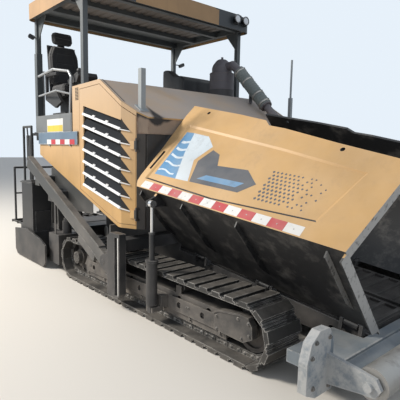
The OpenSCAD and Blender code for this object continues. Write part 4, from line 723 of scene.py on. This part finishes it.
# Operator's place: edge beams in blue paint with a band of tape, a grey sheet cabinet with a blank
# plate, moulded console and seat base, and rails of bent tube.
beam_blue = weathered("beam blue", (0.13, 0.19, 0.26), bare=(0.50, 0.49, 0.46), dusty=(0.40, 0.39, 0.37),
                      wear=1.0, wear_radius=0.018, dirt=0.7, low=-0.5, high=0.5, rough=0.45)
coat(beam_blue, "edge_beams")
coat(weathered("cabinet grey", (0.16, 0.17, 0.175), dusty=(0.42, 0.38, 0.33), wear=0.6, dirt=0.6, **aloft),
     "cabinet")
coat(weathered("moulded black", (0.022, 0.022, 0.024), wear=0.1, dirt=0.5, dusty=(0.25, 0.23, 0.21), **aloft,
               rough=0.55), "console", "seat_base", "lamps", "mirrors")
coat(weathered("dull rail", (0.42, 0.43, 0.44), rough=0.4, metal=0.6, wear=0.2, dirt=0.4, **aloft),
     "handrails")
tape_step = 0.142
beam_face = 1.4225
for side, name in ((-1, "right"), (1, "left")):
    beam = bmesh.new()
    for i in range(6):
        x = -1.430 + i * tape_step
        slab(beam, rectangle(x, 1.733, x + tape_step - 0.002, 1.797), 0.0001, 0.0008,
             side_frame(side, beam_face), (i + 1) % 2)
    add("beam_tape_" + name, beam, "root", "beam_blue", tape_red, tape_white)
plate_yellow = weathered("plate yellow", (0.66, 0.50, 0.06), dusty=(0.5, 0.44, 0.33), rough=0.35, wear=0.1,
                         dirt=0.5, **aloft)
plate_white = weathered("plate white", (0.70, 0.70, 0.67), dusty=(0.5, 0.46, 0.4), rough=0.35, wear=0.1,
                        dirt=0.5, **aloft)
cabinet_face = side_frame(-1, 1.4102)
plates = bmesh.new()
slab(plates, rectangle(-1.44, 1.895, -0.93, 2.070), 0.0001, 0.0015, cabinet_face)
slab(plates, rectangle(-1.43, 1.903, -0.94, 1.985), 0.0015, 0.0022, cabinet_face, 1)
add("cabinet_plate", plates, "root", "arm_grey", plate_white, plate_yellow)

# Seat: foam pads in black cloth, sewn with bolster seams along them and cross channels between.
# Each starts a little smaller and swells in a cloth simulation before its seams draw it in.
seat_cloth = weathered("seat cloth", (0.020, 0.020, 0.022), bare=(0.05, 0.05, 0.05), dusty=(0.20, 0.18, 0.16),
                       rough=0.85, wear=0.2, wear_radius=0.01, dirt=0.6, dirt_scale=5, **aloft, bump=0.2,
                       grain=900)
seat_cloth.node_tree.nodes["Principled BSDF"].inputs["Sheen Weight"].default_value = 0.35


def apply_modifiers(thing):
    shown = thing.evaluated_get(bpy.context.evaluated_depsgraph_get())
    data = bpy.data.meshes.new_from_object(shown)
    thing.modifiers.clear()
    thing.data = data


seam_depth = 0.013
seam_width = 0.007
seam_fade = 0.02


# A pad drawn as an outline in X and Y, `thick` along Z. Seams are (axis, place, from, to).
def pad(name, outline, thick, place, seams, node_name, cap=0.014):
    form = bmesh.new()
    slab(form, outline, 0.004, thick - 0.012, Matrix())
    bmesh.ops.recalc_face_normals(form, faces=form.faces)
    bmesh.ops.bevel(form, geom=form.edges[:], offset=0.018, segments=3, affect="EDGES")
    # Points set to 0.01 mm give the same simulation each run.
    for v in form.verts:
        v.co = [round(value, 5) for value in v.co]
    data = bpy.data.meshes.new(name)
    form.to_mesh(data)
    form.free()
    piece = bpy.data.objects.new(name, data)
    bpy.context.collection.objects.link(piece)
    remesh = piece.modifiers.new("remesh", "REMESH")
    remesh.mode = "VOXEL"
    remesh.voxel_size = 0.006
    apply_modifiers(piece)
    before = [v.co.copy() for v in piece.data.vertices]
    cloth = piece.modifiers.new("cloth", "CLOTH")
    cloth.settings.use_pressure = True
    cloth.settings.uniform_pressure_force = 4
    cloth.settings.effector_weights.gravity = 0
    for step in range(1, 21):
        bpy.context.scene.frame_set(step)
    apply_modifiers(piece)
    bpy.context.scene.frame_set(1)
    for v, start in zip(piece.data.vertices, before):
        swell = v.co - start
        if swell.length > cap:
            swell = swell.normalized() * cap
        swell *= min(1, max(0, (start.z - 0.008) / 0.03))
        crown = max(0, start.z / thick - 0.4) * 0.016
        for axis, line, low, high in seams:
            off, along = (start.x - line, start.y) if axis == "X" else (start.y - line, start.x)
            if low < along < high and start.z > thick * 0.5:
                fade = min(1, (along - low) / seam_fade, (high - along) / seam_fade)
                crown -= seam_depth * math.exp(-((off / seam_width) ** 2)) * fade
        v.co = start + swell + Vector((0, 0, crown))
        v.co.z = min(v.co.z, thick + 0.004)
    piece.modifiers.new("smooth", "SUBSURF").levels = 1
    apply_modifiers(piece)
    piece.data.transform(place)
    piece.data.materials.clear()
    piece.data.materials.append(seat_cloth)
    for face in piece.data.polygons:
        face.use_smooth = True
    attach(piece, "root")
    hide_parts(node_name)


seat_place = shift(-1.560 + DATUM, -0.985, 2.136)
pad("seat_pad", [(-0.225, -0.205), (-0.195, -0.233), (0.205, -0.233), (0.243, -0.200), (0.243, 0.200),
                 (0.205, 0.233), (-0.195, 0.233), (-0.225, 0.205)], 0.110, seat_place @ shift(0, 0, 0.3303),
    [("Y", -0.150, -0.20, 0.225), ("Y", 0.150, -0.20, 0.225), ("X", -0.060, -0.15, 0.15),
     ("X", 0.080, -0.15, 0.15)], "seat_cushion")
# A back pad's X, Y and Z lie across the seat, up and ahead.
upright = Matrix(((0, 0, 1, 0), (1, 0, 0, 0), (0, 1, 0, 0), (0, 0, 0, 1)))
pad("back_pad", [(-0.233, 0.020), (-0.215, 0.006), (0.215, 0.006), (0.233, 0.020), (0.233, 0.440),
                 (0.170, 0.596), (-0.170, 0.596), (-0.233, 0.440)], 0.102,
    seat_place @ shift(-0.2582, 0, 0.441) @ turned(-7, "Y") @ shift(0.002, 0, 0) @ upright,
    [("X", -0.135, 0.02, 0.52), ("X", 0.135, 0.02, 0.52), ("Y", 0.180, -0.135, 0.135),
     ("Y", 0.330, -0.135, 0.135), ("Y", 0.470, -0.135, 0.135)], "seat_back")
pad("head_pad", [(-0.156, 0.030), (-0.130, 0.004), (0.130, 0.004), (0.156, 0.030), (0.156, 0.165),
                 (0.130, 0.192), (-0.130, 0.192), (-0.156, 0.165)], 0.086,
    seat_place @ shift(-0.3245, 0, 1.046) @ turned(-10, "Y") @ upright, [("Y", 0.098, -0.12, 0.12)],
    "seat_back", cap=0.010)

# Covered console: a loose black cover of coated cloth drawn over the second console. It hangs in
# folds that deepen towards its hem, and creases on top.
cover_cloth = weathered("cover cloth", (0.017, 0.018, 0.020), bare=(0.07, 0.07, 0.07),
                        dusty=(0.26, 0.24, 0.21), rough=0.55, wear=0.2, wear_radius=0.01, dirt=0.65,
                        dirt_scale=3, **aloft, run=0.3, bump=0.15, grain=400)
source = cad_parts["covered_console"]
cover = bpy.data.objects.new("console_cover", source.data.copy())
bpy.context.collection.objects.link(cover)
remesh = cover.modifiers.new("remesh", "REMESH")
remesh.mode = "VOXEL"
remesh.voxel_size = 0.013
apply_modifiers(cover)
cover_low, cover_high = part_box("covered_console")
middle = Vector(((cover_low[0] + cover_high[0]) / 2, (cover_low[1] + cover_high[1]) / 2, 0))
cover_shape = bmesh.new()
cover_shape.from_mesh(cover.data)
cover_shape.normal_update()
for _ in range(6):
    bmesh.ops.smooth_vert(cover_shape, verts=cover_shape.verts[:], factor=0.5, use_axis_x=True,
                          use_axis_y=True, use_axis_z=True)
cover_shape.normal_update()
fold_depth = 0.016
crease_depth = 0.006
inset = 0.004
loose = 0.012
moves = {}
for v in cover_shape.verts:
    around = math.atan2(v.co.y - middle.y, v.co.x - middle.x)
    drop = (cover_high[2] - v.co.z) / (cover_high[2] - cover_low[2])
    hang = max(0, drop - 0.12) * (1 - abs(v.normal.z))
    fold = 0.55 * math.sin(around * 9 + 1.3 * math.sin(around * 2)) + 0.30 * math.sin(around * 17 + 4 * drop)
    crease = 0.25 * math.sin(around * 5 + v.co.z * 7) + 0.2 * math.sin(v.co.x * 31 + v.co.y * 23 + v.co.z * 9)
    moves[v] = v.normal * (fold_depth * hang * fold + crease_depth * crease * (1 - 0.6 * drop) - inset)
for v, move in moves.items():
    v.co += move
    v.co.x = min(max(v.co.x, cover_low[0] - loose), cover_high[0] + loose)
    v.co.y = min(max(v.co.y, cover_low[1] - loose), cover_high[1] + loose)
bottom = [face for face in cover_shape.faces if face.calc_center_median().z < cover_low[2] + loose]
bmesh.ops.delete(cover_shape, geom=bottom, context="FACES")
cover_shape.to_mesh(cover.data)
cover_shape.free()
cover.modifiers.new("smooth", "SUBSURF").levels = 1
apply_modifiers(cover)
cover.data.materials.clear()
cover.data.materials.append(cover_cloth)
for face in cover.data.polygons:
    face.use_smooth = True
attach(cover, "root")
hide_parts("covered_console")

# Canopy: a roof of folded ochre sheet on dark grey posts and cross beams. Its front corners are
# dark, it is dull below and darkened there with painted shade, and ribbed light panels line it between the
# beams.
coat(weathered("canopy grey", (0.075, 0.085, 0.090), wear=0.5, dirt=0.5, dusty=(0.35, 0.33, 0.3), **aloft),
     "canopy_frame")
roof_paint = weathered("ochre roof", (0.40, 0.24, 0.11), **{**yellow_wear, "dirt": 0.6, "run": 0.6})
t = roof_paint.node_tree
at = axes(t, where(t))
dark_front = -0.375 + DATUM
dark_side = 0.72
ends = maths(t, "MULTIPLY", maths(t, "GREATER_THAN", at["X"], dark_front),
             maths(t, "GREATER_THAN", maths(t, "ABSOLUTE", at["Y"], 0), dark_side))
overlay(roof_paint, ends, (0.030, 0.034, 0.038))
turn = axes(t, node(t, "NewGeometry").outputs["True Normal"])
# Painted shade: faces turned down are darkened; the added roughness is real dullness.
overlay(roof_paint, maths(t, "LESS_THAN", turn["Z"], -0.5), (0.060, 0.048, 0.040), 0.2)
coat(roof_paint, "canopy_roof")
lining_paint = weathered("lining paint", (0.15, 0.13, 0.115), soil=(0.12, 0.10, 0.08),
                         dusty=(0.45, 0.42, 0.38), rough=0.6, wear=0.2, dirt=0.5, **aloft)
lining = bmesh.new()
lining_height = 3.628
lining_half = 1.180
rib_count = 17
rib_pitch = 2 * lining_half / rib_count
rib_depth = 0.018
ribs = []
for i in range(rib_count):
    y = -lining_half + i * rib_pitch
    ribs += [(y, 0), (y + 0.03, 0), (y + 0.05, -rib_depth), (y + rib_pitch - 0.02, -rib_depth)]
ribs.append((lining_half, 0))
for x0, x1 in ((-0.960, -0.560), (-1.480, -1.060)):
    points = [lining.verts.new((x0 + DATUM, y, lining_height + z)) for y, z in ribs]
    rail = [lining.edges.new(pair) for pair in zip(points, points[1:])]
    swept = bmesh.ops.extrude_edge_only(lining, edges=rail)["geom"]
    far_points = [part for part in swept if isinstance(part, bmesh.types.BMVert)]
    bmesh.ops.translate(lining, verts=far_points, vec=(x1 - x0, 0, 0))
for face in lining.faces:
    face.normal_update()
bmesh.ops.reverse_faces(lining, faces=[face for face in lining.faces if face.normal.z > 0])
bmesh.ops.solidify(lining, geom=lining.faces[:], thickness=0.002)
add("roof_lining", lining, "root", "roof_paint", lining_paint)

# Lamps and mirrors: clear domed lenses with reflectors in black bezels under the roof's front
# edge, and silvered glass in moulded shells on the posts.
lens_glass = weathered("lens glass", (0.82, 0.84, 0.86), dusty=(0.6, 0.57, 0.52), rough=0.12, wear=0,
                       dirt=0.4, **aloft, bump=0)
mirror_glass = weathered("mirror glass", (0.62, 0.65, 0.68), dusty=(0.5, 0.48, 0.45), rough=0.04, metal=1.0,
                         wear=0, dirt=0.3, **aloft, bump=0)
bezel_black = weathered("bezel black", (0.02, 0.02, 0.022), rough=0.4, wear=0.2, dirt=0.4, **aloft)
lenses = bmesh.new()
lamp_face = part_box("lamps")[1][0]
lamp_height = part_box("lamps")[1][2] - 0.064
for side in (-1, 1):
    for y in (1.058, 1.236):
        place = facing(lamp_face - DATUM, side * y, lamp_height, (1, 0, 0))
        lathe(lenses, [(0.0545, -0.009), (0.050, -0.003), (0.030, 0.002), (0.012, 0.0035), (0, 0.0036)],
              place, 28, 0)
        lathe(lenses, [(0.0645, -0.020), (0.0665, -0.010), (0.0645, 0.0005), (0.0570, 0.0015),
                       (0.0545, -0.006)], place, 28, 1)
add("lamp_lenses", lenses, "root", "lamp_housing", lens_glass, bezel_black)
panes = bmesh.new()
for side, height, reach, half in ((-1, 3.285, 0.072, 0.046), (1, 3.258, 0.140, 0.074)):
    aim = turned(side * 12, "Z") @ turned(side * 24, "X")
    place = shift(-2.026 + DATUM, side * (1.303 + reach), height) @ aim @ shift(-0.016, 0, 0)
    place = place @ Matrix(((0, 0, -1, 0), (1, 0, 0, 0), (0, -1, 0, 0), (0, 0, 0, 1)))
    rounded = [(side_y * (half - 0.008) + cut_y, side_z * 0.022 + cut_z) for side_y, side_z, cut_y, cut_z in
               ((1, 1, -0.014, 0), (1, 1, 0, -0.014), (1, -1, 0, 0.014), (1, -1, -0.014, 0),
                (-1, -1, 0.014, 0), (-1, -1, 0, 0.014), (-1, 1, 0, -0.014), (-1, 1, 0.014, 0))]
    slab(panes, rounded[::-1], 0.0001, 0.0012, place)
add("mirror_panes", panes, "root", "lamp_housing", mirror_glass)

# Exhaust: a steel stack with weld seams and small bolts round its foot, an elbow, and a pipe in a
# ribbed insulating sleeve with band clamps. The square post apart from it is light grey.
stack_paint = weathered("stack paint", (0.125, 0.115, 0.125), bare=(0.24, 0.17, 0.13),
                        soil=(0.05, 0.04, 0.035), wear=0.6, dirt=0.6, dusty=(0.40, 0.36, 0.33), **aloft,
                        rough=0.6, run=0.6)
t = stack_paint.node_tree
at = axes(t, where(t))
stack_base = (2.40, 2.6165)
post_from = 1.10
overlay(stack_paint, between(t, at["Z"], *stack_base), (0.055, 0.052, 0.055))
post = maths(t, "GREATER_THAN", maths(t, "ABSOLUTE", at["Y"], 0), post_from)
overlay(stack_paint, post, (0.30, 0.325, 0.335))
coat(stack_paint, "exhaust")
sleeve_wrap = weathered("sleeve wrap", (0.20, 0.225, 0.215), bare=(0.30, 0.30, 0.28),
                        soil=(0.06, 0.05, 0.045), dusty=(0.40, 0.37, 0.33), rough=0.75, wear=0.4, dirt=0.6,
                        **aloft, bump=0.3)
band_steel = weathered("band steel", (0.42, 0.40, 0.37), soil=(0.15, 0.11, 0.08), rough=0.4, metal=0.7,
                       wear=0.3, dirt=0.5, **aloft)
stack_y = 0.950
sleeve_low = Vector((-0.060 + DATUM, stack_y, 2.868))
sleeve_high = Vector((0.499 + DATUM, stack_y, 2.311))
sleeve_run = (sleeve_high - sleeve_low).length
sleeve = shift(*sleeve_low) @ (sleeve_high - sleeve_low).to_track_quat("Z", "Y").to_matrix().to_4x4()
wrap = bmesh.new()
sleeve_ribs = 17
sleeve_hem = 0.0842
profile = [(sleeve_hem, 0.020)]
for i in range(sleeve_ribs * 4 + 1):
    profile.append((0.0885 + 0.0040 * math.sin(i * math.tau / 4 + 0.3),
                    0.024 + i * (sleeve_run - 0.048) / (sleeve_ribs * 4)))
profile.append((sleeve_hem, sleeve_run - 0.020))
lathe(wrap, profile, sleeve, 28, 0)
for along in (0.045, 0.250, 0.540, sleeve_run - 0.075):
    lathe(wrap, [(0.088, along), (0.0945, along + 0.001), (0.0945, along + 0.029), (0.088, along + 0.030)],
          sleeve, 28, 1)
    bolt(wrap, sleeve @ shift(0, 0.098, along + 0.015) @ turned(90, "Y"), 0.009)
add("exhaust_sleeve", wrap, "root", "canopy_grey", sleeve_wrap, band_steel)
stack = shift(-0.420 + DATUM, stack_y, 2.4623)
seams = bmesh.new()
for along in (0.155, 0.275, 0.392):
    lathe(seams, [(0.187, along - 0.005), (0.1915, along - 0.002), (0.1915, along + 0.002),
                  (0.187, along + 0.005)], stack, 40)
for k in range(8):
    bolt(seams, stack @ turned(k * 45 + 20, "Z") @ shift(0.201, 0, 0.0142), 0.006)
add("stack_seams", seams, "root", "canopy_grey", stack_paint)
